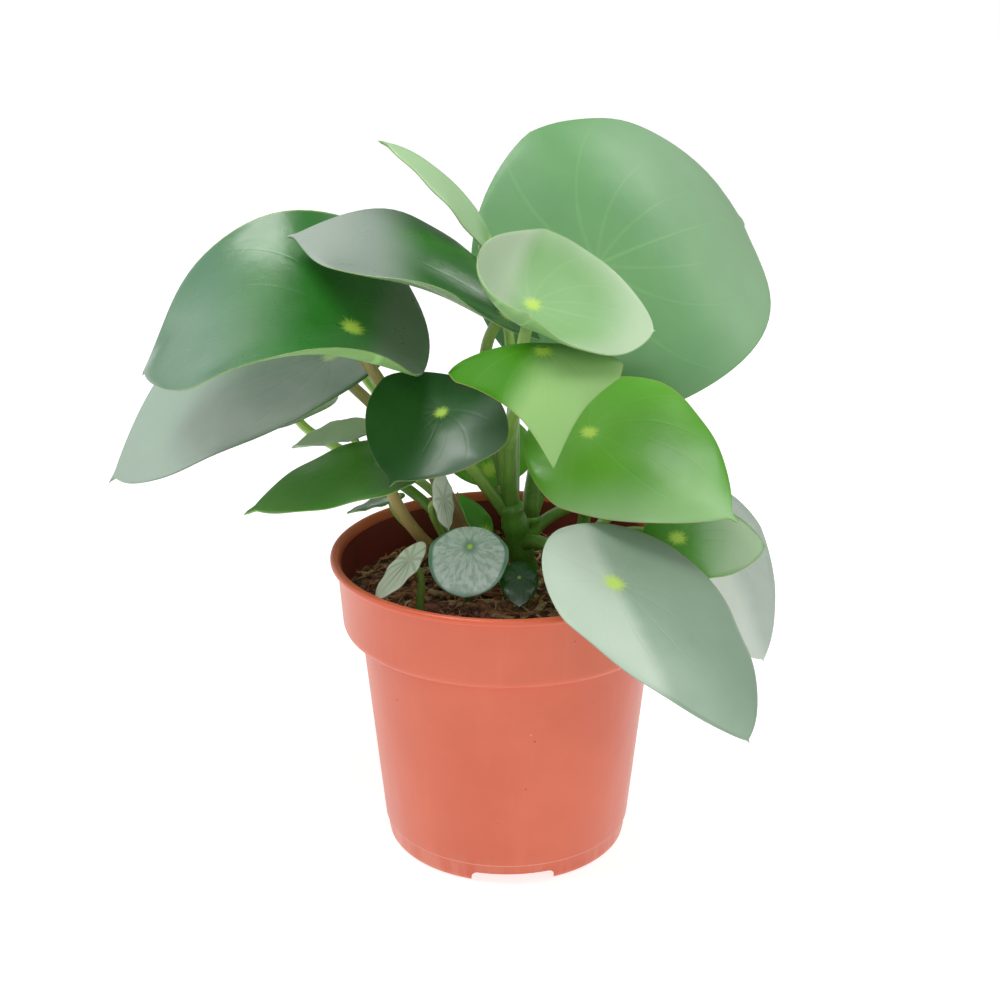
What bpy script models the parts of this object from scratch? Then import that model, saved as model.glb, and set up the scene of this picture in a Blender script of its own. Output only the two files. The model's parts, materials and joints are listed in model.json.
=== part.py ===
# A peperomia in its nursery pot: a moulded pot, the soil that fills it, four groups of
# stems with their leaf stalks, three young stalks, and one blade for each leaf.
# Every size below is in millimetres and every angle in degrees; MM turns them into metres.
# The origin is on the pot's axis at the surface it stands on, with +Z up.
import math
from collections import namedtuple

import bmesh
import bpy
import numpy as np

MM = 0.001
GAP = 0.3                 # between pieces that touch

# Pot, a turned shell with a wide rim band and three notches in its base ring
POT_HEIGHT = 105.0
LIP_RADIUS = 60.0
BAND_TOP_RADIUS = 57.6
BAND_FOOT_RADIUS = 56.2
BAND_FOOT_HEIGHT = 79.0
BODY_TOP_RADIUS = 50.0
BODY_FOOT_RADIUS = 43.0
BASE_RADIUS = 42.4
BASE_LINE_HEIGHT = 7.0
POT_WALL = 1.2
FLOOR_HEIGHT = 5.0
BOSS_RADIUS = 10.0
POT_STEPS = 48
NOTCH_WIDTH = 28.0
NOTCH_HEIGHT = 3.6
NOTCH_DEPTH = 8.0         # of its cutter, right through the base ring
NOTCH_ANGLES = (-87.0, 33.0, 153.0)
DRAIN_RADIUS = 3.5
DRAIN_CIRCLE = 27.0
DRAIN_COUNT = 6

# Soil, a filled plug with a low uneven mound on top
SOIL_LEVEL = 89.0
SOIL_MOUND = 3.0
SOIL_ROUGHNESS = 0.7
SOIL_RINGS = 8

# Blades and stalks
BLADE = 1.2               # thickness of a grown blade
YOUNG_BLADE = 1.0
GRID_ROWS = 12            # faces along a blade, and across a long one
GRID_COLUMNS = 6
STALK_TAPER = (1.12, 0.88)  # share of a stalk's girth at its root and at its blade
STALK_SEAT = 0.7          # from the blade's underside to the end of its stalk
STALK_COLLAR = 1.5        # straight end of a stalk, square to its blade
STALK_POINTS = 8
SOCKET_DEPTH = 9.0        # how deep a stem stands in the soil
SOCKET_GAP = 0.45         # round a stem in its hole
HOLE_REACH = 12.0         # of a hole's cutter above the foot of its stem

GREEN_DARK = (0.020, 0.085, 0.016)
GREEN_DEEP = (0.028, 0.115, 0.022)
GREEN_MID = (0.070, 0.230, 0.035)
GREEN_BRIGHT = (0.105, 0.330, 0.025)
GREEN_PALE = (0.270, 0.470, 0.230)
GREEN_GREY = (0.180, 0.330, 0.190)
SILVER = (0.440, 0.560, 0.450)
STEM_GREEN = (0.060, 0.180, 0.030)
TERRACOTTA = (0.600, 0.135, 0.065)
SOIL_BROWN = (0.035, 0.018, 0.010)

# spot: where the stalk meets the blade. aim: heading from +X, pitch and roll of the blade
# there. size: length and width. back: share of the length behind the spot. blunt: 0.5 is
# an oval and 1 a pointed drop. taper: 0.5 is a round base and 1 a pointed one. point: share
# of the length that is the drawn-out tip. droop: bend towards the tip and towards the base.
# left and right: curl of each half, at the base and at the tip, seen from the stalk with
# the tip ahead. lean: how much wider the left half is. foot: stem group and height on its
# trunk. out: heading and pitch of the stalk as it leaves. reach: how far it follows its
# first and its last direction.
Leaf = namedtuple("Leaf", "spot aim size colour back blunt taper point droop left right lean "
                  "foot out reach girth thick")


def leaf(spot, aim, size, colour, foot, out, back=0.28, blunt=0.75, taper=0.5, point=0.06,
         droop=(15, 5), left=(0, 0), right=(0, 0), lean=0.0, reach=(20, 14), girth=2.1,
         thick=BLADE):
    return Leaf(spot, aim, size, colour, back, blunt, taper, point, droop, left, right, lean,
                foot, out, reach, girth, thick)


LEAVES = {
    "leaf_left_dome": leaf(
        (-50, -5, 184), (184, 25, 24), (112, 88), GREEN_DEEP, ("stem_left", 100), (172, 68),
        back=0.24, point=0.03, droop=(88, 0), left=(95, -52), right=(0, 50), reach=(63, 3)),
    "leaf_top_left": leaf(
        (0, 0, 187.5), (182, 38, 36), (95, 53), GREEN_DARK, ("stem_main", 116), (150, 75),
        back=0.15, blunt=1.1, taper=1.25, point=0.03, droop=(52, 5), left=(120, 5),
        right=(-75, 0), lean=-0.08, reach=(35, 22)),
    "leaf_top_centre": leaf(
        (8, -15, 194), (-5, -15, -30), (66, 56), GREEN_PALE, ("stem_main", 118), (258, 74),
        back=0.40, blunt=0.65, point=0.01, droop=(-10, -70), left=(40, 20), right=(88, 30),
        lean=-0.06, reach=(42, 4)),
    "leaf_left_low": leaf(
        (-60, 20, 167.5), (184, -13, 20), (124, 80), GREEN_GREY, ("stem_left", 98), (110, 60),
        back=0.24, blunt=0.8, taper=0.9, point=0.03, droop=(38, -10), left=(15, 10),
        right=(20, 0), lean=-0.12, reach=(40, 10)),
    "leaf_left_under": leaf(
        (-75.5, 36, 145.3), (186, -14, 4), (60, 41), SILVER, ("stem_left", 95), (140, 62),
        droop=(20, 5), left=(10, 0), right=(20, 10), reach=(40, 16), girth=1.8),
    "leaf_left_small": leaf(
        (-52.5, 13, 144), (190, -8, 0), (30, 22), SILVER, ("stem_left", 97), (150, 75),
        droop=(15, 5), reach=(40, 12), girth=1.5),
    "leaf_left_green": leaf(
        (-40, -15, 141.5), (190, -8, 8), (67, 42), GREEN_MID, ("stem_left", 93), (205, 35),
        back=0.27, droop=(22, 5), left=(10, 0), right=(-5, -5), lean=0.12, reach=(24, 14)),
    "leaf_centre_dark": leaf(
        (-21, -25, 161.5), (227, -28, 6), (47, 47), GREEN_DARK, ("stem_main", 112), (195, 55),
        back=0.36, blunt=0.65, droop=(25, 10), left=(-20, -20), right=(20, 20), reach=(24, 14)),
    "leaf_top_narrow": leaf(
        (-5, 32, 204), (198, 65, 32), (57, 23), GREEN_PALE, ("stem_main", 117), (82, 68),
        back=0.08, droop=(50, 5), right=(-70, -70), lean=0.1, reach=(88, 5), girth=1.7),
    "leaf_back_large": leaf(
        (31, 38, 195), (12, 22, -62), (127, 104), GREEN_GREY, ("stem_back", 104), (60, 80),
        back=0.34, blunt=0.5, droop=(72, 10), left=(-10, -30), right=(-50, 20), reach=(50, 22),
        girth=2.5),
    "leaf_right_bright": leaf(
        (27, -8, 149.5), (-33, -9, -22), (78, 61), GREEN_BRIGHT, ("stem_right", 98), (60, 70),
        back=0.26, blunt=0.8, point=0.04, droop=(32, 5), left=(0, -20), right=(-20, -40),
        lean=0.09, reach=(26, 16)),
    "leaf_centre_shield": leaf(
        (11, -33, 184), (-83, -25, 3), (54, 56), GREEN_BRIGHT, ("stem_main", 119), (180, 76),
        back=0.24, blunt=2.0, droop=(42, 85), left=(-20, -60), right=(-28, -50), lean=-0.06,
        reach=(34, 15)),
    "leaf_right_small": leaf(
        (57, -10, 113), (0, -2, -30), (42, 32), GREEN_MID, ("stem_right", 95), (-20, 50),
        blunt=0.65, point=0.015, droop=(12, 0), reach=(34, 6), girth=1.7),
    "leaf_right_back": leaf(
        (74, 31, 97), (2, -66, -66), (76, 33), SILVER, ("stem_right", 92), (30, 62),
        blunt=0.7, point=0.02, droop=(5, 0), left=(25, 25), reach=(50, 20), girth=1.9),
    "leaf_front_right": leaf(
        (33, -57, 116.5), (-49, -22, 0), (92, 60), GREEN_GREY, ("stem_main", 103), (-55, 35),
        back=0.285, blunt=0.8, point=0.01, droop=(15, -8), left=(-5, -30), right=(-15, -15),
        lean=0.25, reach=(30, 16), girth=2.2),
    "leaf_behind_stalks": leaf(
        (-6, 17, 128), (92, 50, 0), (32, 30), GREEN_BRIGHT, ("stem_back", 97), (170, 60),
        back=0.2, blunt=0.6, droop=(15, 0), reach=(12, 9), girth=1.5),
    "leaf_low_left": leaf(
        (-40, 11, 119.5), (190, -14, -10), (21, 15), GREEN_DEEP, ("stem_left", 92), (170, 50),
        back=0.25, droop=(5, 5), reach=(12, 8), girth=1.3, thick=YOUNG_BLADE),
    "leaf_back_left": leaf(
        (-22, 52, 132), (112, -25, 0), (50, 42), GREEN_DEEP, ("stem_back", 99), (150, 60),
        droop=(25, 10), left=(15, 5), right=(15, 5), reach=(22, 14)),
    "leaf_back_right": leaf(
        (46, 48, 120), (58, -22, 0), (62, 50), GREEN_MID, ("stem_back", 96), (50, 50),
        droop=(30, 10), left=(15, 0), right=(20, 5), reach=(18, 14)),
    "leaf_back_high": leaf(
        (44, 62, 164), (66, -16, 0), (72, 58), GREEN_DEEP, ("stem_back", 102), (45, 68),
        droop=(35, 10), left=(20, 0), right=(10, 5), reach=(34, 20)),
    "leaf_back_far_left": leaf(
        (-62, 66, 170), (160, -8, -8), (50, 42), GREEN_MID, ("stem_left", 96), (130, 62),
        droop=(25, 10), left=(20, 5), right=(15, 5), reach=(56, 17)),
    "young_round": leaf(
        (-12, -28, 117), (-100, -45, 0), (25, 25), SILVER, ("stalk_round", 91), (-70, 70),
        back=0.30, blunt=0.5, droop=(5, 10), left=(10, 0), right=(10, 0), point=0.01,
        reach=(10, 8), girth=1.5, thick=YOUNG_BLADE),
    "young_pale": leaf(
        (-32, -25, 111), (212, -42, -5), (26, 14), SILVER, ("stalk_pale", 91), (90, 80),
        back=0.30, blunt=0.6, droop=(0, 0), reach=(8, 6), girth=1.3, thick=YOUNG_BLADE),
    "young_silver": leaf(
        (-21, -10, 126), (-60, -72, 35), (20, 13), SILVER, ("stem_left", 92), (190, 55),
        back=0.50, blunt=0.5, droop=(0, 0), reach=(12, 7), girth=1.2, thick=YOUNG_BLADE),
    "young_dark": leaf(
        (4, -25, 105), (-90, -50, 0), (16, 12), GREEN_DARK, ("stalk_dark", 91), (60, 80),
        back=0.35, blunt=0.6, droop=(10, 5), reach=(6, 5), girth=1.3, thick=YOUNG_BLADE),
    "young_lance": leaf(
        (-7.5, -5, 112.5), (190, 62, 55), (21, 9), GREEN_DEEP, ("stem_main", 99), (215, 35),
        back=0.15, blunt=0.8, droop=(10, 0), left=(40, 40), right=(40, 40), reach=(6, 4),
        girth=1.2, thick=YOUNG_BLADE),
}

# Trunks of the stem groups: foot on the soil, top, radius at the foot and at the top
TRUNKS = {
    "stem_main": ((6.5, 11, 91), (1.5, 5, 119), 5.0, 4.2),
    "stem_left": ((-11, 4, 91), (-12, 5, 101), 4.2, 3.6),
    "stem_right": ((24, 14, 91), (25, 13, 99), 4.0, 3.4),
    "stem_back": ((8, 32, 90), (8, 31, 105), 4.4, 3.8),
    "stalk_round": ((-13, -12, 91), (-13, -12, 92), 1.8, 1.7),
    "stalk_pale": ((-29, -22, 91), (-29, -22, 92), 1.5, 1.4),
    "stalk_dark": ((5, -18, 91), (5, -18, 92), 1.5, 1.4),
}


def clear_scene():
    for item in list(bpy.data.objects):
        bpy.data.objects.remove(item, do_unlink=True)


def make_collection(name):
    collection = bpy.data.collections.new(name)
    bpy.context.scene.collection.children.link(collection)
    return collection


def make_material(name, colour, roughness, coat=0.0):
    material = bpy.data.materials.new(name)
    material.use_nodes = True
    shader = material.node_tree.nodes["Principled BSDF"]
    shader.inputs["Base Color"].default_value = (*colour, 1.0)
    shader.inputs["Roughness"].default_value = roughness
    shader.inputs["Metallic"].default_value = 0.0
    shader.inputs["Coat Weight"].default_value = coat
    return material


def new_object(name, data, collection, material=None):
    item = bpy.data.objects.new(name, data)
    collection.objects.link(item)
    if material:
        data.materials.clear()
        data.materials.append(material)
    return item


def evaluated_mesh(item):
    depsgraph = bpy.context.evaluated_depsgraph_get()
    depsgraph.update()
    return bpy.data.meshes.new_from_object(item.evaluated_get(depsgraph))


def arc_slope(distance, bend, reach):
    """Place along a midrib of even bend, and the slope there."""
    if abs(bend) < 0.01 or reach <= 0:
        return distance, 0.0, 0.0
    turn = math.radians(bend) / reach
    angle = turn * distance
    return math.sin(angle) / turn, -(1 - math.cos(angle)) / turn, angle


def blade_axes(aim):
    """Unit vectors towards the tip, towards the left margin and out of the upper face."""
    heading, pitch, roll = (math.radians(angle) for angle in aim)
    ahead = np.array([math.cos(pitch) * math.cos(heading), math.cos(pitch) * math.sin(heading),
                      math.sin(pitch)])
    up = np.array([0.0, 0.0, 1.0]) - math.sin(pitch) * ahead
    up /= np.linalg.norm(up)
    side = np.cross(up, ahead)
    left = side * math.cos(roll) - up * math.sin(roll)
    out = up * math.cos(roll) + side * math.sin(roll)
    return ahead, left, out


def half_width(share, shape):
    """Half width of a blade of half width 1, from the base at 0 to the tip at 1."""
    if share <= 0 or share >= 1:
        return 0.0
    blunt, taper = shape.blunt, shape.taper
    widest = taper / (taper + blunt)
    peak = widest ** taper * (1 - widest) ** blunt
    along = min(share / (1 - shape.point), 1.0)
    body = along ** taper * (1 - along) ** blunt / peak
    tip = (1 - share) * min(3 * share, 1.0) ** (2 * taper)
    return (body ** 3 + tip ** 3) ** (1 / 3)


def blade_point(shape, share, across):
    """A point of the blade's middle surface; share runs base to tip, across -1 to 1."""
    length, width = shape.size
    ahead, left, out = blade_axes(shape.aim)
    distance = (share - shape.back) * length
    if distance >= 0:
        along, rise, slope = arc_slope(distance, shape.droop[0], (1 - shape.back) * length)
    else:
        along, rise, slope = arc_slope(-distance, shape.droop[1], shape.back * length)
        along, slope = -along, -slope
    curl_base, curl_tip = shape.left if across > 0 else shape.right
    curl = math.radians(curl_base + (curl_tip - curl_base) * share)
    half = 0.5 * width * half_width(share, shape)
    half *= 1 + (shape.lean if across > 0 else -shape.lean)
    offset = half * abs(across)
    if abs(curl) > 0.001:
        turn = curl / (0.5 * width)
        sideways = math.sin(turn * offset) / turn
        lift = (1 - math.cos(turn * offset)) / turn
    else:
        sideways, lift = offset, 0.0
    sideways = math.copysign(sideways, across)
    along += lift * math.sin(slope)
    rise += lift * math.cos(slope)
    return np.array(shape.spot, float) + along * ahead + sideways * left + rise * out


def row_share(place, back):
    """Share of the length of a row of the grid, place 0 to 1, with one row on the spot."""
    spot_place = math.acos(1 - 2 * back) / math.pi
    spot_row = round(spot_place * GRID_ROWS) / GRID_ROWS
    if place <= spot_row:
        even = place * spot_place / spot_row
    else:
        even = 1 - (1 - place) * (1 - spot_place) / (1 - spot_row)
    return 0.5 * (1 - math.cos(math.pi * even))


def make_blade(name, shape, collection, material):
    bm = bmesh.new()
    columns = GRID_COLUMNS if shape.size[0] > 60 else GRID_COLUMNS - 2
    bmesh.ops.create_grid(bm, x_segments=GRID_ROWS, y_segments=columns, size=0.5)
    for vert in bm.verts:
        share = row_share(vert.co.x + 0.5, shape.back)
        vert.co = blade_point(shape, share, 2 * vert.co.y) * MM
    bmesh.ops.remove_doubles(bm, verts=bm.verts, dist=0.05 * MM)
    bmesh.ops.triangulate(bm, faces=bm.faces)
    mesh = bpy.data.meshes.new(name)
    bm.to_mesh(mesh)
    bm.free()
    mesh.shade_smooth()
    item = new_object(name, mesh, collection, material)
    thickness = item.modifiers.new("thickness", "SOLIDIFY")
    thickness.thickness = shape.thick * MM
    thickness.offset = 0.0
    return item


def bezier(points, share):
    start, first, last, end = (np.array(point, float) for point in points)
    rest = 1 - share
    return (rest ** 3 * start + 3 * rest ** 2 * share * first + 3 * rest * share ** 2 * last
            + share ** 3 * end)


def tube(name, points, radii, collection):
    """A round tube as one closed mesh, drawn as a bevelled curve and capped."""
    curve = bpy.data.curves.new(name, "CURVE")
    curve.dimensions = "3D"
    curve.bevel_depth = MM
    curve.bevel_resolution = 2
    curve.use_fill_caps = True
    spline = curve.splines.new("POLY")
    spline.points.add(len(points) - 1)
    for place, point, radius in zip(spline.points, points, radii):
        place.co = (*(np.array(point, float) * MM), 1.0)
        place.radius = radius
    guide = new_object(name + "_path", curve, collection)
    mesh = evaluated_mesh(guide)
    bpy.data.objects.remove(guide, do_unlink=True)
    bm = bmesh.new()
    bm.from_mesh(mesh)
    bmesh.ops.remove_doubles(bm, verts=bm.verts, dist=0.01 * MM)
    bmesh.ops.recalc_face_normals(bm, faces=bm.faces)
    bm.to_mesh(mesh)
    bm.free()
    return new_object(name, mesh, collection)


def trunk_place(trunk, height):
    """Centre of a trunk at a height above the standing surface."""
    foot, top = (np.array(point, float) for point in trunk[:2])
    share = (height - foot[2]) / (top[2] - foot[2])
    return foot + (top - foot) * min(max(share, 0.0), 1.0)


def stalk_route(shape):
    """Points of the stalk from inside its trunk to just under its blade."""
    group, height = shape.foot
    start = trunk_place(TRUNKS[group], height)
    heading, pitch = (math.radians(angle) for angle in shape.out)
    away = np.array([math.cos(pitch) * math.cos(heading), math.cos(pitch) * math.sin(heading),
                     math.sin(pitch)])
    out = blade_axes(shape.aim)[2]
    end = np.array(shape.spot, float) - out * (0.5 * shape.thick + STALK_SEAT)
    neck = end - out * STALK_COLLAR
    controls = (start, start + away * shape.reach[0], neck - out * shape.reach[1], neck)
    return [bezier(controls, step / (STALK_POINTS - 1)) for step in range(STALK_POINTS)] + [end]


def make_stems(group, parts, work, material):
    """One trunk and its stalks, grown together as one solid."""
    foot, top, foot_radius, top_radius = TRUNKS[group]
    below = np.array(foot, float) - (0, 0, SOCKET_DEPTH)
    trunk = tube(group, [below, foot, top], [foot_radius, foot_radius, top_radius], parts)
    for name, shape in LEAVES.items():
        if shape.foot[0] == group:
            taper = np.linspace(*STALK_TAPER, STALK_POINTS + 1) * shape.girth
            tube(name + "_stalk", stalk_route(shape), taper, work)
    union = trunk.modifiers.new("union", "BOOLEAN")
    union.operation = "UNION"
    union.operand_type = "COLLECTION"
    union.collection = work
    union.solver = "MANIFOLD"
    mesh = evaluated_mesh(trunk)
    trunk.modifiers.clear()
    trunk.data = mesh
    mesh.name = group
    mesh.materials.clear()
    mesh.materials.append(material)
    mesh.shade_smooth()
    for item in list(work.objects):
        bpy.data.objects.remove(item, do_unlink=True)
    return trunk


def turned(name, chains, steps, collection, material):
    """Chains of (radius, height) points turned round the Z axis, the last joined to the first."""
    points = [point for chain in chains for point in chain]
    edges, first = [], 0
    for chain in chains:
        edges += [(first + index, first + index + 1) for index in range(len(chain) - 1)]
        first += len(chain)
    if points[-1][0] > 0:
        edges.append((len(points) - 1, 0))
    mesh = bpy.data.meshes.new(name)
    mesh.from_pydata([(radius * MM, 0.0, height * MM) for radius, height in points], edges, [])
    item = new_object(name, mesh, collection, material)
    screw = item.modifiers.new("turn", "SCREW")
    screw.steps = screw.render_steps = steps
    screw.use_merge_vertices = True
    screw.merge_threshold = 0.00005
    screw.use_smooth_shade = True
    return item


def cutter_cylinder(name, centre, radius, height, collection):
    bpy.ops.mesh.primitive_cylinder_add(vertices=16, radius=radius * MM, depth=height * MM,
                                        location=[value * MM for value in centre])
    item = bpy.context.object
    item.name = name
    return to_cutters(item, collection)


def to_cutters(item, collection):
    for holder in list(item.users_collection):
        holder.objects.unlink(item)
    collection.objects.link(item)
    item.hide_render = True
    item.display_type = "WIRE"
    return item


def cut(item, tools):
    boolean = item.modifiers.new("cut", "BOOLEAN")
    boolean.operation = "DIFFERENCE"
    boolean.operand_type = "COLLECTION"
    boolean.collection = tools


def inside_profile():
    """The pot's inner side, from the middle of the floor up to the lip."""
    floor = FLOOR_HEIGHT + POT_WALL
    step = BAND_FOOT_HEIGHT + POT_WALL
    return [
        (0.0, floor), (BODY_FOOT_RADIUS - POT_WALL - 0.6, floor),
        (BODY_FOOT_RADIUS - POT_WALL, floor + 1.2), (BODY_TOP_RADIUS - POT_WALL, step),
        (BAND_FOOT_RADIUS - 2.8, step), (BAND_FOOT_RADIUS - POT_WALL, step + 2.0),
        (BAND_TOP_RADIUS - POT_WALL, POT_HEIGHT - 2.2), (LIP_RADIUS - 2.5, POT_HEIGHT - 0.4)]


def outside_profile():
    """The pot's outer side, from the top of the lip down and in to the middle of the boss."""
    return [
        (LIP_RADIUS - 1.4, POT_HEIGHT), (LIP_RADIUS - 0.3, POT_HEIGHT - 0.5),
        (LIP_RADIUS, POT_HEIGHT - 1.3), (LIP_RADIUS - 0.4, POT_HEIGHT - 2.1),
        (BAND_TOP_RADIUS, POT_HEIGHT - 2.8), (BAND_FOOT_RADIUS, BAND_FOOT_HEIGHT + 2.6),
        (BAND_FOOT_RADIUS - 0.9, BAND_FOOT_HEIGHT + 0.8), (BAND_FOOT_RADIUS - 2.6, BAND_FOOT_HEIGHT),
        (BODY_TOP_RADIUS + 0.6, BAND_FOOT_HEIGHT), (BODY_TOP_RADIUS, BAND_FOOT_HEIGHT - 0.8),
        (BODY_FOOT_RADIUS, BASE_LINE_HEIGHT), (BASE_RADIUS + 0.2, BASE_LINE_HEIGHT - 0.5),
        (BASE_RADIUS, 0.0), (BASE_RADIUS - 2.2, 0.0), (BASE_RADIUS - 1.9, FLOOR_HEIGHT),
        (BOSS_RADIUS + 0.6, FLOOR_HEIGHT), (BOSS_RADIUS, 0.0), (0.0, 0.0)]


def make_pot(parts, cutters):
    material = make_material("terracotta_plastic", TERRACOTTA, 0.38)
    pot = turned("pot", [outside_profile(), inside_profile()], POT_STEPS, parts, material)
    for index, angle in enumerate(NOTCH_ANGLES):
        turn = math.radians(angle)
        place = [BASE_RADIUS * MM * math.cos(turn), BASE_RADIUS * MM * math.sin(turn), 0.0]
        bpy.ops.mesh.primitive_cube_add(size=1.0, location=place, rotation=(0, 0, turn))
        notch = bpy.context.object
        notch.name = f"notch_{index + 1}"
        notch.scale = (NOTCH_DEPTH * MM, NOTCH_WIDTH * MM, 2 * NOTCH_HEIGHT * MM)
        to_cutters(notch, cutters)
    for index in range(DRAIN_COUNT):
        turn = 2 * math.pi * index / DRAIN_COUNT
        centre = (DRAIN_CIRCLE * math.cos(turn), DRAIN_CIRCLE * math.sin(turn), FLOOR_HEIGHT)
        cutter_cylinder(f"drain_{index + 1}", centre, DRAIN_RADIUS, 5 * POT_WALL,
                        cutters)
    cut(pot, cutters)


def soil_relief(x, y):
    """Height of the soil's top above its level at the pot's wall."""
    radius = math.hypot(x, y)
    edge = inside_profile()[5][0]
    fall = max(0.0, 1 - (radius / edge) ** 2)
    lumps = math.sin(0.31 * x + 1.0) * math.cos(0.37 * y) + 0.6 * math.sin(0.63 * x - 0.52 * y)
    return SOIL_MOUND * fall + SOIL_ROUGHNESS * lumps * min(1.0, 4 * fall)


def make_soil(parts, cutters):
    material = make_material("soil", SOIL_BROWN, 0.95)
    inside = inside_profile()
    (floor_radius, floor), (heel, heel_height) = inside[1], inside[2]
    (body_top, step), (shelf, _), (band_foot, band_height), (band_top, lip) = inside[3:7]
    share = (SOIL_LEVEL - band_height) / (lip - band_height)
    edge = band_foot + (band_top - band_foot) * share - GAP
    top = [(edge * ring / SOIL_RINGS, SOIL_LEVEL) for ring in range(SOIL_RINGS + 1)]
    side = [(band_foot - GAP, band_height), (shelf - GAP, step + GAP), (body_top - GAP, step + GAP),
            (heel - GAP, heel_height), (floor_radius - GAP, floor + GAP), (0.0, floor + GAP)]
    soil = turned("soil", [top + side], POT_STEPS, parts, material)
    soil.data = evaluated_mesh(soil)
    soil.modifiers.clear()
    for vert in soil.data.vertices:
        if abs(vert.co.z - SOIL_LEVEL * MM) < 0.01 * MM:
            vert.co.z += soil_relief(vert.co.x / MM, vert.co.y / MM) * MM
    bm = bmesh.new()
    bm.from_mesh(soil.data)
    bmesh.ops.triangulate(bm, faces=bm.faces)
    bm.to_mesh(soil.data)
    bm.free()
    for group, (foot, _, radius, _) in TRUNKS.items():
        depth = SOCKET_DEPTH + GAP
        length = depth + HOLE_REACH
        centre = (foot[0], foot[1], foot[2] - depth + 0.5 * length)
        cutter_cylinder(group + "_hole", centre, radius + SOCKET_GAP, length, cutters)
    cut(soil, cutters)


def main():
    clear_scene()
    parts = make_collection("potted_peperomia")
    work = make_collection("stalks")
    stem_material = make_material("stem", STEM_GREEN, 0.45)
    for group in TRUNKS:
        make_stems(group, parts, work, stem_material)
    bpy.data.collections.remove(work)
    for name, shape in LEAVES.items():
        material = make_material(name, shape.colour, 0.32, coat=0.2)
        make_blade(name, shape, parts, material)
    make_soil(parts, make_collection("soil_cutters"))
    make_pot(parts, make_collection("pot_cutters"))


main()
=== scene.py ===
import json
import math
import random

import bmesh
import bpy
import numpy as np
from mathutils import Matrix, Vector, noise

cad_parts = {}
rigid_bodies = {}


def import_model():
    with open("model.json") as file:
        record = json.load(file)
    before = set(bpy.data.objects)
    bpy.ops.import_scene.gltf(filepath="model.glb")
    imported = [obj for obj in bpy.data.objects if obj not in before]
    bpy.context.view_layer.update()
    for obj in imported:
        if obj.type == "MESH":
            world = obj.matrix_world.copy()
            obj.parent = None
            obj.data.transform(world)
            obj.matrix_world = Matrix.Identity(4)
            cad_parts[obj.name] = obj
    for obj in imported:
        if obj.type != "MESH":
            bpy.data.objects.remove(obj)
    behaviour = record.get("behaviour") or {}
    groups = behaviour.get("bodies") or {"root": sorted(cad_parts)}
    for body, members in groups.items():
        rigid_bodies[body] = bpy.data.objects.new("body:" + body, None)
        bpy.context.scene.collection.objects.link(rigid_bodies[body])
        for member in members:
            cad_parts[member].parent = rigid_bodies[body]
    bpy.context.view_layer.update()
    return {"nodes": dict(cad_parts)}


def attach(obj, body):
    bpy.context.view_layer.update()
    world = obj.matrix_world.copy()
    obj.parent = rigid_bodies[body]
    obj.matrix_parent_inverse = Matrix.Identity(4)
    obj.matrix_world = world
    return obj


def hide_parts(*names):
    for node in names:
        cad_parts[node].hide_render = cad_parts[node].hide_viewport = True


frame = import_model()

# A peperomia in a terracotta-coloured nursery pot. Shapes are in millimetres and degrees.
mm = 0.001
print("frame loaded:", len(frame["nodes"]), "solids")


# Helpers for node trees: a value is a plain one or another node's output
def feed(tree, socket, value):
    if isinstance(value, bpy.types.NodeSocket):
        tree.links.new(value, socket)
    elif socket.type == "RGBA":
        socket.default_value = (*value, 1.0)
    else:
        socket.default_value = value


def addNode(tree, kind, inputs=None, **settings):
    node = tree.nodes.new(kind)
    for name, value in settings.items():
        setattr(node, name, value)
    for socket, value in (inputs or {}).items():
        feed(tree, node.inputs[socket], value)
    return node


def calc(tree, operation, *values, clamp=False):
    return addNode(tree, "ShaderNodeMath", dict(enumerate(values)), operation=operation,
                   use_clamp=clamp).outputs[0]


def times(tree, first, *others):
    for other in others:
        first = calc(tree, "MULTIPLY", first, other)
    return first


def plus(tree, first, *others, clamp=False):
    for other in others:
        first = calc(tree, "ADD", first, other, clamp=clamp)
    return first


def ease(tree, value, low, high, start=0.0, end=1.0):
    sockets = {"Value": value, "From Min": low, "From Max": high, "To Min": start, "To Max": end}
    return addNode(tree, "ShaderNodeMapRange", sockets, interpolation_type="SMOOTHSTEP").outputs[0]


def blendColours(tree, share, first, second):
    return addNode(tree, "ShaderNodeMix", {0: share, 6: first, 7: second},
                   data_type="RGBA").outputs[2]


def vectorCalc(tree, operation, first, second):
    return addNode(tree, "ShaderNodeVectorMath", {0: first, 1: second},
                   operation=operation).outputs


def lengthOf(tree, vector):
    return addNode(tree, "ShaderNodeVectorMath", {0: vector},
                   operation="LENGTH").outputs["Value"]


def split(tree, vector):
    return addNode(tree, "ShaderNodeSeparateXYZ", {0: vector}).outputs


def noiseAt(tree, vector, scale, detail, roughness=0.5):
    return addNode(tree, "ShaderNodeTexNoise", {"Vector": vector, "Scale": scale, "Detail": detail,
                                                "Roughness": roughness}).outputs["Fac"]


def surfaceSpot(tree):
    return addNode(tree, "ShaderNodeTexCoord").outputs["Object"]


# Camera, pale floor and soft light
studio = {
    "target": (-0.0023, 0.0, 0.1229),
    "distance": 0.600,
    "tilt": 20.15,
    "lens": 64.1,
    "floorSize": 9.0,
    "floorHeight": -0.0002,
    "floorTone": 0.50,
    "floorGlow": 0.74,
    "skyGlow": 0.20,
}
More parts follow.
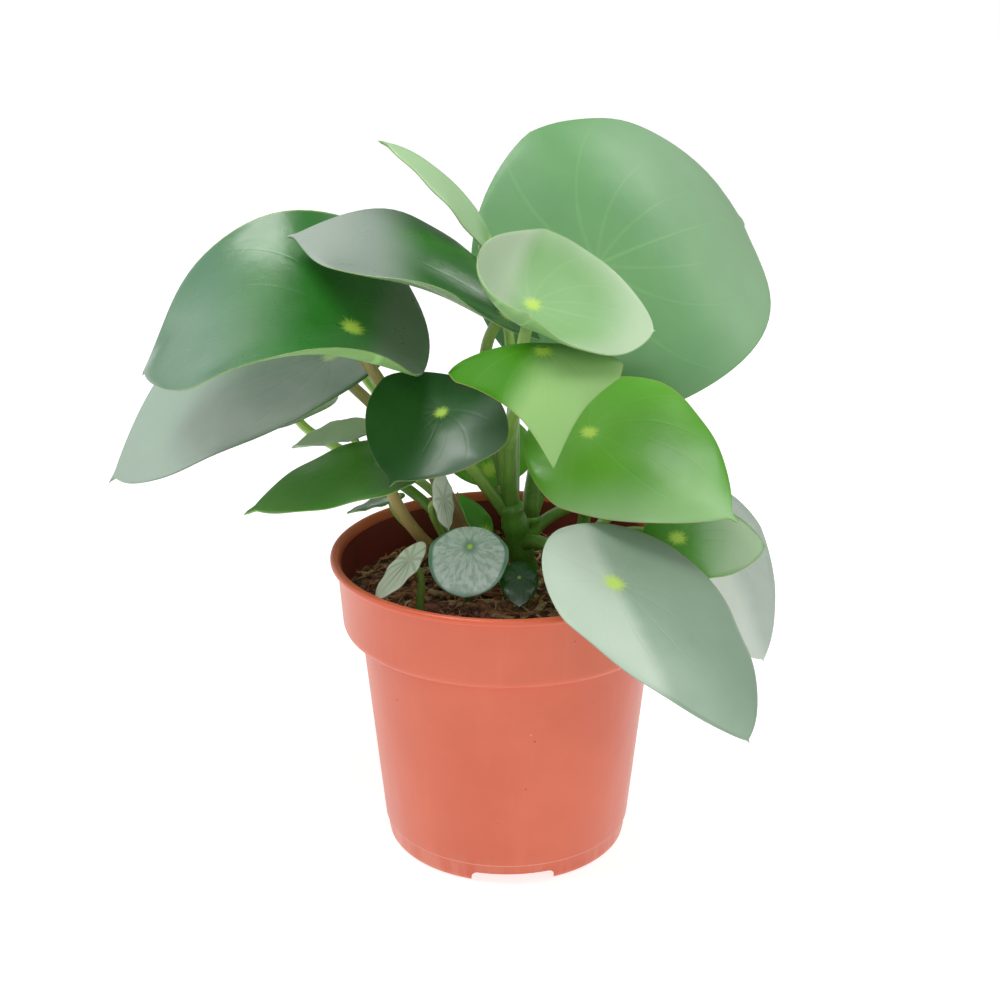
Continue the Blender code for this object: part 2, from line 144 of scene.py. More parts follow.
# bright parts of the sky: towards them, the cosines where each is full and gone, its glow
skyPatches = {
    "backLeft": {"toward": (-0.69, 0.41, 0.60), "full": 0.92, "gone": 0.70, "glow": 1.20},
    "front": {"toward": (0.15, -0.97, 0.19), "full": 0.97, "gone": 0.35, "glow": 0.50},
}
softboxes = {
    "boxKey": {"at": (-0.36, -0.08, 0.97), "size": (0.40, 0.44), "watts": 4.6},
    "boxFront": {"at": (0.15, -0.95, 0.75), "size": (0.36, 0.24), "watts": 0.8},
    "boxRight": {"at": (0.44, 0.08, 0.93), "size": (0.40, 0.40), "watts": 2.4},
    "boxSide": {"at": (0.72, -0.16, 0.66), "size": (0.40, 0.46), "watts": 0.9},
}


def placeCamera():
    tilt = math.radians(studio["tilt"])
    back = Vector((0.0, -math.cos(tilt), math.sin(tilt)))
    lens = bpy.data.cameras.new("photoCamera")
    lens.sensor_width = 36.0
    lens.lens = studio["lens"]
    lens.clip_start, lens.clip_end = 0.01, 60.0
    camera = bpy.data.objects.new("photoCamera", lens)
    camera.location = Vector(studio["target"]) + back * studio["distance"]
    camera.rotation_euler = (math.pi / 2 - tilt, 0.0, 0.0)
    bpy.context.scene.collection.objects.link(camera)
    bpy.context.scene.camera = camera


def lightStudio():
    # a dim sky with bright patches, so that waxy leaves show clear sheens and dark parts
    world = bpy.data.worlds.new("studioSky")
    bpy.context.scene.world = world
    world.use_nodes = True
    tree = world.node_tree
    tree.nodes.clear()
    direction = addNode(tree, "ShaderNodeTexCoord").outputs["Generated"]
    glow = studio["skyGlow"]
    for patch in skyPatches.values():
        toward = Vector(patch["toward"]).normalized()
        slope = vectorCalc(tree, "DOT_PRODUCT", direction, toward)["Value"]
        glow = plus(tree, glow, ease(tree, slope, patch["gone"], patch["full"], 0.0,
                                     patch["glow"]))
    # the camera sees plain white
    seen = addNode(tree, "ShaderNodeLightPath").outputs["Is Camera Ray"]
    strength = addNode(tree, "ShaderNodeMix", {0: seen, 2: glow, 3: 1.0}, data_type="FLOAT")
    sky = addNode(tree, "ShaderNodeBackground", {"Color": (1.0, 1.0, 1.0),
                                                 "Strength": strength.outputs[0]})
    addNode(tree, "ShaderNodeOutputWorld", {"Surface": sky.outputs[0]})
    for name, box in softboxes.items():
        light = bpy.data.lights.new(name, "AREA")
        light.shape = "RECTANGLE"
        light.size, light.size_y = box["size"]
        light.energy = box["watts"]
        lamp = bpy.data.objects.new(name, light)
        lamp.location = box["at"]
        lamp.rotation_euler = (Vector(studio["target"]) - lamp.location).to_track_quat(
            "-Z", "Y").to_euler()
        bpy.context.scene.collection.objects.link(lamp)


def layFloor():
    bm = bmesh.new()
    bmesh.ops.create_grid(bm, x_segments=4, y_segments=4, size=studio["floorSize"])
    mesh = bpy.data.meshes.new("studioFloor")
    bm.to_mesh(mesh)
    bm.free()
    floor = bpy.data.objects.new("studioFloor", mesh)
    floor.location.z = studio["floorHeight"]
    bpy.context.scene.collection.objects.link(floor)
    paint = bpy.data.materials.new("paleSweep")
    paint.use_nodes = True
    shader = paint.node_tree.nodes["Principled BSDF"]
    shader.inputs["Base Color"].default_value = (*[studio["floorTone"]] * 3, 1.0)
    shader.inputs["Roughness"].default_value = 0.8
    shader.inputs["Emission Color"].default_value = (1.0, 1.0, 1.0, 1.0)
    shader.inputs["Emission Strength"].default_value = studio["floorGlow"]
    mesh.materials.append(paint)


placeCamera()
lightStudio()
layFloor()
bpy.context.scene.view_settings.view_transform = "Standard"
bpy.context.scene.view_settings.look = "None"
print("studio ready")


# Effects that several finishes share, each a node group that works from a place in metres
def newGroup(name, inputs, *outputs):
    group = bpy.data.node_groups.new(name, "ShaderNodeTree")
    group.interface.new_socket("Place", in_out="INPUT", socket_type="NodeSocketVector")
    for socket, value in inputs.items():
        group.interface.new_socket(socket, in_out="INPUT",
                                   socket_type="NodeSocketFloat").default_value = value
    for socket in outputs:
        group.interface.new_socket(socket, in_out="OUTPUT", socket_type="NodeSocketFloat")
    return group, addNode(group, "NodeGroupInput").outputs, addNode(group, "NodeGroupOutput").inputs


def makeVeinGroup():
    # ribs leave the stalk's spot and bend over towards the tip, weaker further out
    group, given, result = newGroup("leafVeins", {"Reach": 0.07, "Spacing": 0.5, "Width": 0.001},
                                    "Veins", "Midrib", "Distance")
    parts = split(group, given["Place"])
    aside = calc(group, "ABSOLUTE", parts["Y"])
    distance = lengthOf(group, given["Place"])
    ahead = calc(group, "SUBTRACT", given["Reach"], parts["X"])
    fan = plus(group, calc(group, "ARCTAN2", aside, parts["X"]),
               times(group, calc(group, "ARCTAN2", aside, ahead), 0.8))
    step = calc(group, "DIVIDE", fan, given["Spacing"])
    nearest = calc(group, "ROUND", step)
    off = calc(group, "ABSOLUTE", calc(group, "SUBTRACT", step, nearest))
    gap = times(group, off, given["Spacing"], distance)
    outward = calc(group, "DIVIDE", distance, given["Reach"])
    width = times(group, given["Width"], ease(group, outward, 0.0, 1.0, 1.0, 0.35))
    line = ease(group, calc(group, "DIVIDE", gap, width), 0.15, 1.0, 1.0, 0.0)
    veins = times(group, line, ease(group, outward, 0.35, 1.05, 1.0, 0.0))
    middle = times(group, line, calc(group, "LESS_THAN", nearest, 0.5),
                   ease(group, outward, 0.6, 1.15, 1.0, 0.0))
    for socket, value in (("Veins", veins), ("Midrib", middle), ("Distance", distance)):
        feed(group, result[socket], value)
    return group


def makeMottleGroup():
    # soft cloudy change of tone
    group, given, result = newGroup("toneClouds", {"Scale": 60.0, "Contrast": 0.5}, "Mask")
    cloud = noiseAt(group, given["Place"], given["Scale"], 4.0, 0.55)
    spread = times(group, calc(group, "SUBTRACT", cloud, 0.5), times(group, given["Contrast"], 5.0))
    feed(group, result["Mask"], plus(group, spread, 0.5, clamp=True))
    return group


def makeGrainGroup():
    # fine height for a Bump node: small pits over a slow swell
    group, given, result = newGroup(
        "skinGrain", {"Fine": 2200.0, "Coarse": 70.0, "Swell": 0.5, "Pits": 0.05}, "Height")
    pits = noiseAt(group, given["Place"], given["Fine"], 2.0)
    swell = noiseAt(group, given["Place"], given["Coarse"], 1.0)
    feed(group, result["Height"], plus(group, times(group, pits, given["Pits"]),
                                       times(group, swell, given["Swell"])))
    return group


def makeDustGroup():
    # scattered specks with soft rims
    group, given, result = newGroup("dustSpecks", {"Scale": 300.0, "Size": 0.12, "Share": 0.3},
                                    "Mask")
    cells = addNode(group, "ShaderNodeTexVoronoi", {"Vector": given["Place"],
                                                    "Scale": given["Scale"]}).outputs
    chance = addNode(group, "ShaderNodeSeparateColor", {0: cells["Color"]}).outputs[0]
    speck = ease(group, calc(group, "DIVIDE", cells["Distance"], given["Size"]),
                 0.4, 1.0, 1.0, 0.0)
    feed(group, result["Mask"],
         times(group, speck, calc(group, "LESS_THAN", chance, given["Share"])))
    return group


def makeSpotGroup():
    # the pale mark over the stalk: a soft core with rays that fade out
    group, given, result = newGroup("stalkMark", {"Size": 1.0}, "Mask")
    parts = split(group, given["Place"])
    angle = calc(group, "ARCTAN2", parts["Y"], parts["X"])
    circle = addNode(group, "ShaderNodeCombineXYZ", {"X": calc(group, "COSINE", angle),
                                                     "Y": calc(group, "SINE", angle)}).outputs[0]
    rays = noiseAt(group, circle, 5.0, 3.0)
    fuzz = noiseAt(group, given["Place"], 900.0, 2.0)
    rough = plus(group, times(group, rays, 1.3), times(group, fuzz, 0.5))
    radius = times(group, rough, given["Size"], 0.0026)
    share = calc(group, "DIVIDE", lengthOf(group, given["Place"]), radius)
    feed(group, result["Mask"], ease(group, share, 0.45, 1.7, 0.92, 0.0))
    return group


def makeFrostGroup():
    # silver patches in rays from the stalk, which stop short of the margin
    group, given, result = newGroup("silvering", {"Reach": 0.02, "Across": 0.0}, "Mask")
    parts = split(group, given["Place"])
    outward = calc(group, "DIVIDE", lengthOf(group, given["Place"]), given["Reach"])
    angle = calc(group, "ARCTAN2", parts["Y"], parts["X"])
    polar = addNode(group, "ShaderNodeCombineXYZ",
                    {"X": times(group, calc(group, "COSINE", angle), 4.0),
                     "Y": times(group, calc(group, "SINE", angle), 4.0),
                     "Z": times(group, outward, 3.5)}).outputs[0]
    patches = noiseAt(group, polar, 1.6, 4.0, 0.65)
    feed(group, result["Mask"], times(group, ease(group, patches, 0.36, 0.60, 0.50, 1.0),
                                      ease(group, given["Across"], 0.86, 0.93, 1.0, 0.0),
                                      ease(group, outward, 0.86, 1.0, 1.0, 0.0),
                                      ease(group, outward, 0.04, 0.22, 0.1, 1.0)))
    return group


veinGroup = makeVeinGroup()
spotGroup = makeSpotGroup()
frostGroup = makeFrostGroup()
cloudGroup = makeMottleGroup()
grainGroup = makeGrainGroup()
dustGroup = makeDustGroup()


def place(tree, group, **inputs):
    node = addNode(tree, "ShaderNodeGroup", node_tree=group)
    for socket, value in inputs.items():
        feed(tree, node.inputs[socket], value)
    return node.outputs


def newFinish(name, roughness, coat=0.0, coatRoughness=0.1, specular=0.5):
    material = bpy.data.materials.new(name)
    material.use_nodes = True
    shader = material.node_tree.nodes["Principled BSDF"]
    for socket, value in (("Roughness", roughness), ("Coat Weight", coat),
                          ("Coat Roughness", coatRoughness), ("Specular IOR Level", specular)):
        shader.inputs[socket].default_value = value
    return material, material.node_tree, shader


def finishWith(tree, shader, colour, height, strength, distance):
    # the finish's colour, and its relief from a height in metres
    bump = addNode(tree, "ShaderNodeBump", {"Height": height, "Strength": strength,
                                            "Distance": distance})
    feed(tree, shader.inputs["Base Color"], colour)
    feed(tree, shader.inputs["Normal"], bump.outputs["Normal"])


def addPiece(name, verts, faces, slots, materials, node=None, layers=None, weld=0.0,
             turnOut=False):
    # one visible piece from points in millimetres, with a map for each layer
    mesh = bpy.data.meshes.new(name)
    mesh.from_pydata([[float(value) * mm for value in vert] for vert in verts], [], faces)
    mesh.polygons.foreach_set("material_index", slots)
    for material in materials:
        mesh.materials.append(material)
    corner = np.zeros(len(mesh.loops), int)
    mesh.loops.foreach_get("vertex_index", corner)
    for layer, values in (layers or {}).items():
        mesh.uv_layers.new(name=layer).data.foreach_set("uv", np.array(values)[corner].ravel())
    if weld:
        bm = bmesh.new()
        bm.from_mesh(mesh)
        bmesh.ops.remove_doubles(bm, verts=bm.verts, dist=weld)
        if turnOut:
            bmesh.ops.recalc_face_normals(bm, faces=bm.faces)
        bm.to_mesh(mesh)
        bm.free()
    mesh.shade_smooth()
    piece = bpy.data.objects.new(name, mesh)
    bpy.context.scene.collection.objects.link(piece)
    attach(piece, "root")
    if node:
        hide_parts(node)


def pointing(heading, pitch):
    return Vector((math.cos(pitch) * math.cos(heading), math.cos(pitch) * math.sin(heading),
                   math.sin(pitch)))


# Leaf skins: deep and fresh are the two greens of the upper face, rib the veins, spot the
# stalk's mark, rim the margin line, under the lower face. ribs, frost and blush are how
# strongly veins, silvering and the paler zone round the stalk show.
skinUsual = {"rib": (0.07, 0.25, 0.04), "spot": (0.46, 0.68, 0.08), "rim": (0.22, 0.36, 0.09),
             "under": (0.27, 0.5, 0.16), "ribs": 0.03, "rough": 0.29, "coat": 0.2, "specular": 0.75,
             "frost": 0.0, "frostTone": (0.6, 0.68, 0.6), "blush": 0.5, "spotSize": 1.0}
leafSkins = {
    "dark": {"deep": (0.007, 0.06, 0.01), "fresh": (0.013, 0.098, 0.011),
        "rib": (0.035, 0.16, 0.026), "rim": (0.24, 0.25, 0.08), "rough": 0.36, "coat": 0.08,
        "specular": 0.45, "spotSize": 0.8},
    "deep": {"deep": (0.01, 0.11, 0.012), "fresh": (0.02, 0.175, 0.011), "rib": (0.05, 0.23, 0.03),
        "rim": (0.24, 0.36, 0.1), "coat": 0.15, "specular": 0.62, "spotSize": 1.25},
    "olive": {"deep": (0.01, 0.086, 0.009), "fresh": (0.02, 0.135, 0.009), "rib": (0.05, 0.2, 0.03),
        "under": (0.4, 0.55, 0.33)},
    "mid": {"deep": (0.032, 0.195, 0.008), "fresh": (0.066, 0.28, 0.012), "rib": (0.11, 0.34, 0.05),
        "rough": 0.36, "specular": 0.4},
    "bright": {"deep": (0.06, 0.29, 0.01), "fresh": (0.125, 0.4, 0.018), "rib": (0.24, 0.54, 0.08),
        "rim": (0.38, 0.29, 0.12), "under": (0.34, 0.58, 0.18), "ribs": 0.05, "rough": 0.36,
        "specular": 0.6},
    "lush": {"deep": (0.03, 0.18, 0.003), "fresh": (0.062, 0.255, 0.006), "rib": (0.24, 0.54, 0.08),
        "rim": (0.38, 0.29, 0.12), "under": (0.34, 0.58, 0.18), "ribs": 0.05, "rough": 0.48,
        "coat": 0.0, "specular": 0.12},
    "ink": {"deep": (0.007, 0.06, 0.01), "fresh": (0.013, 0.098, 0.011),
        "rib": (0.035, 0.16, 0.026), "rim": (0.08, 0.2, 0.05), "specular": 0.5, "rough": 0.2,
        "spotSize": 0.2},
    "pale": {"deep": (0.175, 0.37, 0.135), "fresh": (0.245, 0.45, 0.185), "rib": (0.42, 0.64, 0.32),
        "under": (0.3, 0.55, 0.2), "ribs": 0.07, "rough": 0.42, "coat": 0.05, "specular": 0.5},
    "sage": {"deep": (0.03, 0.15, 0.045), "fresh": (0.055, 0.215, 0.07), "rib": (0.12, 0.32, 0.12),
        "rim": (0.1, 0.16, 0.08), "rough": 0.33, "coat": 0.2},
    "grey": {"deep": (0.19, 0.285, 0.195), "fresh": (0.28, 0.395, 0.28), "rib": (0.33, 0.45, 0.32),
        "rim": (0.3, 0.38, 0.27), "under": (0.25, 0.46, 0.18), "ribs": 0.05, "rough": 0.4,
        "coat": 0.05, "specular": 0.5, "blush": 0.0, "spotSize": 1.2},
    "large": {"deep": (0.09, 0.25, 0.095), "fresh": (0.15, 0.35, 0.125), "rib": (0.28, 0.54, 0.2),
        "rim": (0.16, 0.32, 0.12), "under": (0.24, 0.46, 0.18), "ribs": 0.11, "rough": 0.42,
        "coat": 0.05, "specular": 0.5, "spotSize": 0.6},
    "silver": {"deep": (0.42, 0.51, 0.43), "fresh": (0.56, 0.64, 0.56), "rib": (0.62, 0.72, 0.6),
        "rim": (0.2, 0.32, 0.15), "under": (0.34, 0.48, 0.26), "ribs": 0.06, "rough": 0.34,
        "frost": 0.15, "spotSize": 0.05},
    "folded": {"deep": (0.56, 0.63, 0.52), "fresh": (0.76, 0.81, 0.71), "rib": (0.15, 0.24, 0.12),
        "rim": (0.2, 0.32, 0.15), "under": (0.34, 0.48, 0.26), "ribs": 0.4, "rough": 0.4,
        "frost": 0.15, "specular": 0.5, "spotSize": 0.05},
    "frosted": {"deep": (0.06, 0.17, 0.105), "fresh": (0.11, 0.25, 0.16), "rib": (0.3, 0.46, 0.33),
        "rim": (0.15, 0.33, 0.13), "under": (0.34, 0.48, 0.26), "ribs": 0.05, "rough": 0.3,
        "frost": 0.8, "frostTone": (0.62, 0.72, 0.65), "spotSize": 0.35},
}

# Painted sheen and shade over a face, lighter and darker zones standing for reflections and
# shading. toward weighs the way ahead, to the left and outward from the stalk's mark; the tone
# begins at start and is full at full, in metres.
leafPaintedSheens = {
    "leaf_left_dome": [
        {"tone": (0.045, 0.16, 0.085), "toward": (1.0, 0.2, 0.0), "start": 0.026, "full": 0.05,
         "share": 0.7},
        {"tone": (0.13, 0.18, 0.12), "toward": (-1.0, 0.0, 0.0), "start": 0.003, "full": 0.013,
         "share": 0.7}],
    "leaf_top_left": [
        {"tone": (0.23, 0.29, 0.24), "toward": (1.0, 0.5, 0.0), "start": 0.028, "full": 0.05,
         "share": 0.95}],
    "leaf_top_centre": [
        {"tone": (0.45, 0.57, 0.39), "toward": (0.0, 0.0, 1.0), "start": 0.017, "full": 0.036,
         "share": 0.8},
        {"tone": (0.47, 0.58, 0.41), "toward": (-1.0, 0.0, 0.0), "start": 0.003, "full": 0.012,
         "share": 0.8}],
    "leaf_top_narrow": [
        {"tone": (0.4, 0.58, 0.33), "toward": (0.0, 0.0, 1.0), "start": 0.002, "full": 0.012,
         "share": 0.7}],
    "leaf_left_low": [
        {"tone": (0.225, 0.325, 0.245), "toward": (0.2, 0.3, 1.0), "start": 0.026, "full": 0.056,
         "share": 0.9}],
    "leaf_left_green": [
        {"tone": (0.11, 0.26, 0.06), "toward": (1.0, 0.3, 0.0), "start": 0.02, "full": 0.045,
         "share": 0.5}],
    "leaf_centre_dark": [
        {"tone": (0.09, 0.15, 0.095), "toward": (0.0, 1.0, 0.0), "start": 0.004, "full": 0.014,
         "share": 0.75}],
    "leaf_back_large": [
        {"tone": (0.29, 0.45, 0.28), "toward": (1.0, 0.0, 0.0), "start": 0.01, "full": 0.06,
         "share": 0.7}],
    "leaf_right_bright": [
        {"tone": (0.33, 0.55, 0.26), "toward": (0.5, -0.7, 0.0), "start": 0.014, "full": 0.034,
         "share": 0.75}],
    "leaf_centre_shield": [
        {"tone": (0.31, 0.52, 0.19), "toward": (0.6, 1.0, 0.0), "start": -0.006, "full": 0.007,
         "share": 0.85}],
    "leaf_right_small": [
        {"tone": (0.25, 0.4, 0.19), "toward": (1.0, 0.0, 0.0), "start": 0.006, "full": 0.022,
         "share": 0.9}],
    "leaf_right_back": [
        {"tone": (0.3, 0.39, 0.33), "toward": (0.0, 1.0, 0.0), "start": -0.002, "full": 0.005,
         "share": 0.85}],
    "leaf_front_right": [
        {"tone": (0.48, 0.59, 0.47), "toward": (-0.35, -1.0, 0.0), "start": -0.004, "full": 0.004,
         "share": 0.75}],
}
# how far, in metres, a painted sheen or shade lies further out, and how far the clouds of tone move
# its border
paintedSheenDrift = {"shift": 0.003, "clouds": 0.006}
bladeMap = 200.0  # millimetres that the flattened blade's map spans


def bladeCoordinates(tree):
    # place on the flattened blade in metres from the stalk, and the share across it
    flat = addNode(tree, "ShaderNodeUVMap", uv_map="bladePlace").outputs["UV"]
    centred = vectorCalc(tree, "SUBTRACT", flat, (0.5, 0.5, 0.0))[0]
    spotPlace = addNode(tree, "ShaderNodeVectorMath", {0: centred, "Scale": bladeMap * mm},
                        operation="SCALE").outputs[0]
    grid = addNode(tree, "ShaderNodeUVMap", uv_map="bladeGrid").outputs["UV"]
    return spotPlace, split(tree, grid)["Y"]


# how much of a painted sheen or shade covers each place of a leaf's face
def paintedSheenShare(tree, spotPlace, distance, clouds, paintedSheen):
    parts = split(tree, spotPlace)
    ahead, aside, outward = paintedSheen["toward"]
    far = plus(tree, times(tree, parts["X"], ahead), times(tree, parts["Y"], aside),
               times(tree, distance, outward), times(tree, clouds, paintedSheenDrift["clouds"]))
    return ease(tree, far, paintedSheen["start"] + paintedSheenDrift["shift"], paintedSheen["full"] + paintedSheenDrift["shift"],
                0.0, paintedSheen["share"])


def paintLeafFace(name, skin, reach, paintedSheens):
    material, tree, shader = newFinish(name + "Face", skin["rough"], skin["coat"], 0.16,
                                       skin["specular"])
    spotPlace, across = bladeCoordinates(tree)
    ribs = place(tree, veinGroup, Place=spotPlace, Reach=reach, Spacing=0.55, Width=0.0011)
    clouds = place(tree, cloudGroup, Place=spotPlace, Scale=20.0, Contrast=0.32)["Mask"]
    colour = blendColours(tree, clouds, skin["deep"], skin["fresh"])
    blush = ease(tree, ribs["Distance"], 0.003, 0.030, skin["blush"], 0.0)
    colour = blendColours(tree, blush, colour, skin["fresh"])
    # painted sheen and shade: lighter and darker zones standing for reflections and shading
    for paintedSheen in paintedSheens:
        share = paintedSheenShare(tree, spotPlace, ribs["Distance"], clouds, paintedSheen)
        colour = blendColours(tree, share, colour, paintedSheen["tone"])
    if skin["frost"] > 0:
        frost = place(tree, frostGroup, Place=spotPlace, Reach=reach, Across=across)["Mask"]
        colour = blendColours(tree, times(tree, frost, skin["frost"]), colour, skin["frostTone"])
    shown = calc(tree, "MAXIMUM", times(tree, ribs["Veins"], skin["ribs"]),
                 times(tree, ribs["Midrib"], skin["ribs"] * 1.8))
    colour = blendColours(tree, shown, colour, skin["rib"])
    mark = place(tree, spotGroup, Place=spotPlace, Size=skin["spotSize"])["Mask"]
    colour = blendColours(tree, mark, colour, skin["spot"])
    edge = ease(tree, across, 0.984, 0.997, 0.0, 0.7)
    colour = blendColours(tree, edge, colour, skin["rim"])
    swell = place(tree, grainGroup, Place=spotPlace, Fine=280.0, Coarse=55.0, Swell=1.0,
                  Pits=0.32)["Height"]
    height = calc(tree, "SUBTRACT", swell, times(tree, ribs["Veins"], 0.10))
    finishWith(tree, shader, colour, height, 0.40, 0.0007)
    patches = place(tree, cloudGroup, Place=spotPlace, Scale=90.0, Contrast=0.4)["Mask"]
    feed(tree, shader.inputs["Roughness"],
         ease(tree, patches, 0.0, 1.0, skin["rough"] - 0.03, skin["rough"] + 0.05))
    return material


def paintLeafBack(name, skin, reach):
    material, tree, shader = newFinish(name + "Back", 0.5)
    spotPlace, _ = bladeCoordinates(tree)
    ribs = place(tree, veinGroup, Place=spotPlace, Reach=reach, Spacing=0.52, Width=0.0022)
    clouds = place(tree, cloudGroup, Place=spotPlace, Scale=50.0, Contrast=0.5)["Mask"]
    darker = [0.72 * value for value in skin["under"]]
    paler = [min(1.0, 1.3 * value + 0.03) for value in skin["under"]]
    colour = blendColours(tree, clouds, darker, skin["under"])
    colour = blendColours(tree, times(tree, ribs["Veins"], 0.6), colour, paler)
    grain = place(tree, grainGroup, Place=spotPlace, Fine=2200.0, Coarse=60.0,
                  Swell=0.5)["Height"]
    height = plus(tree, grain, times(tree, ribs["Veins"], 0.8))
    finishWith(tree, shader, colour, height, 0.5, 0.0006)
    return material


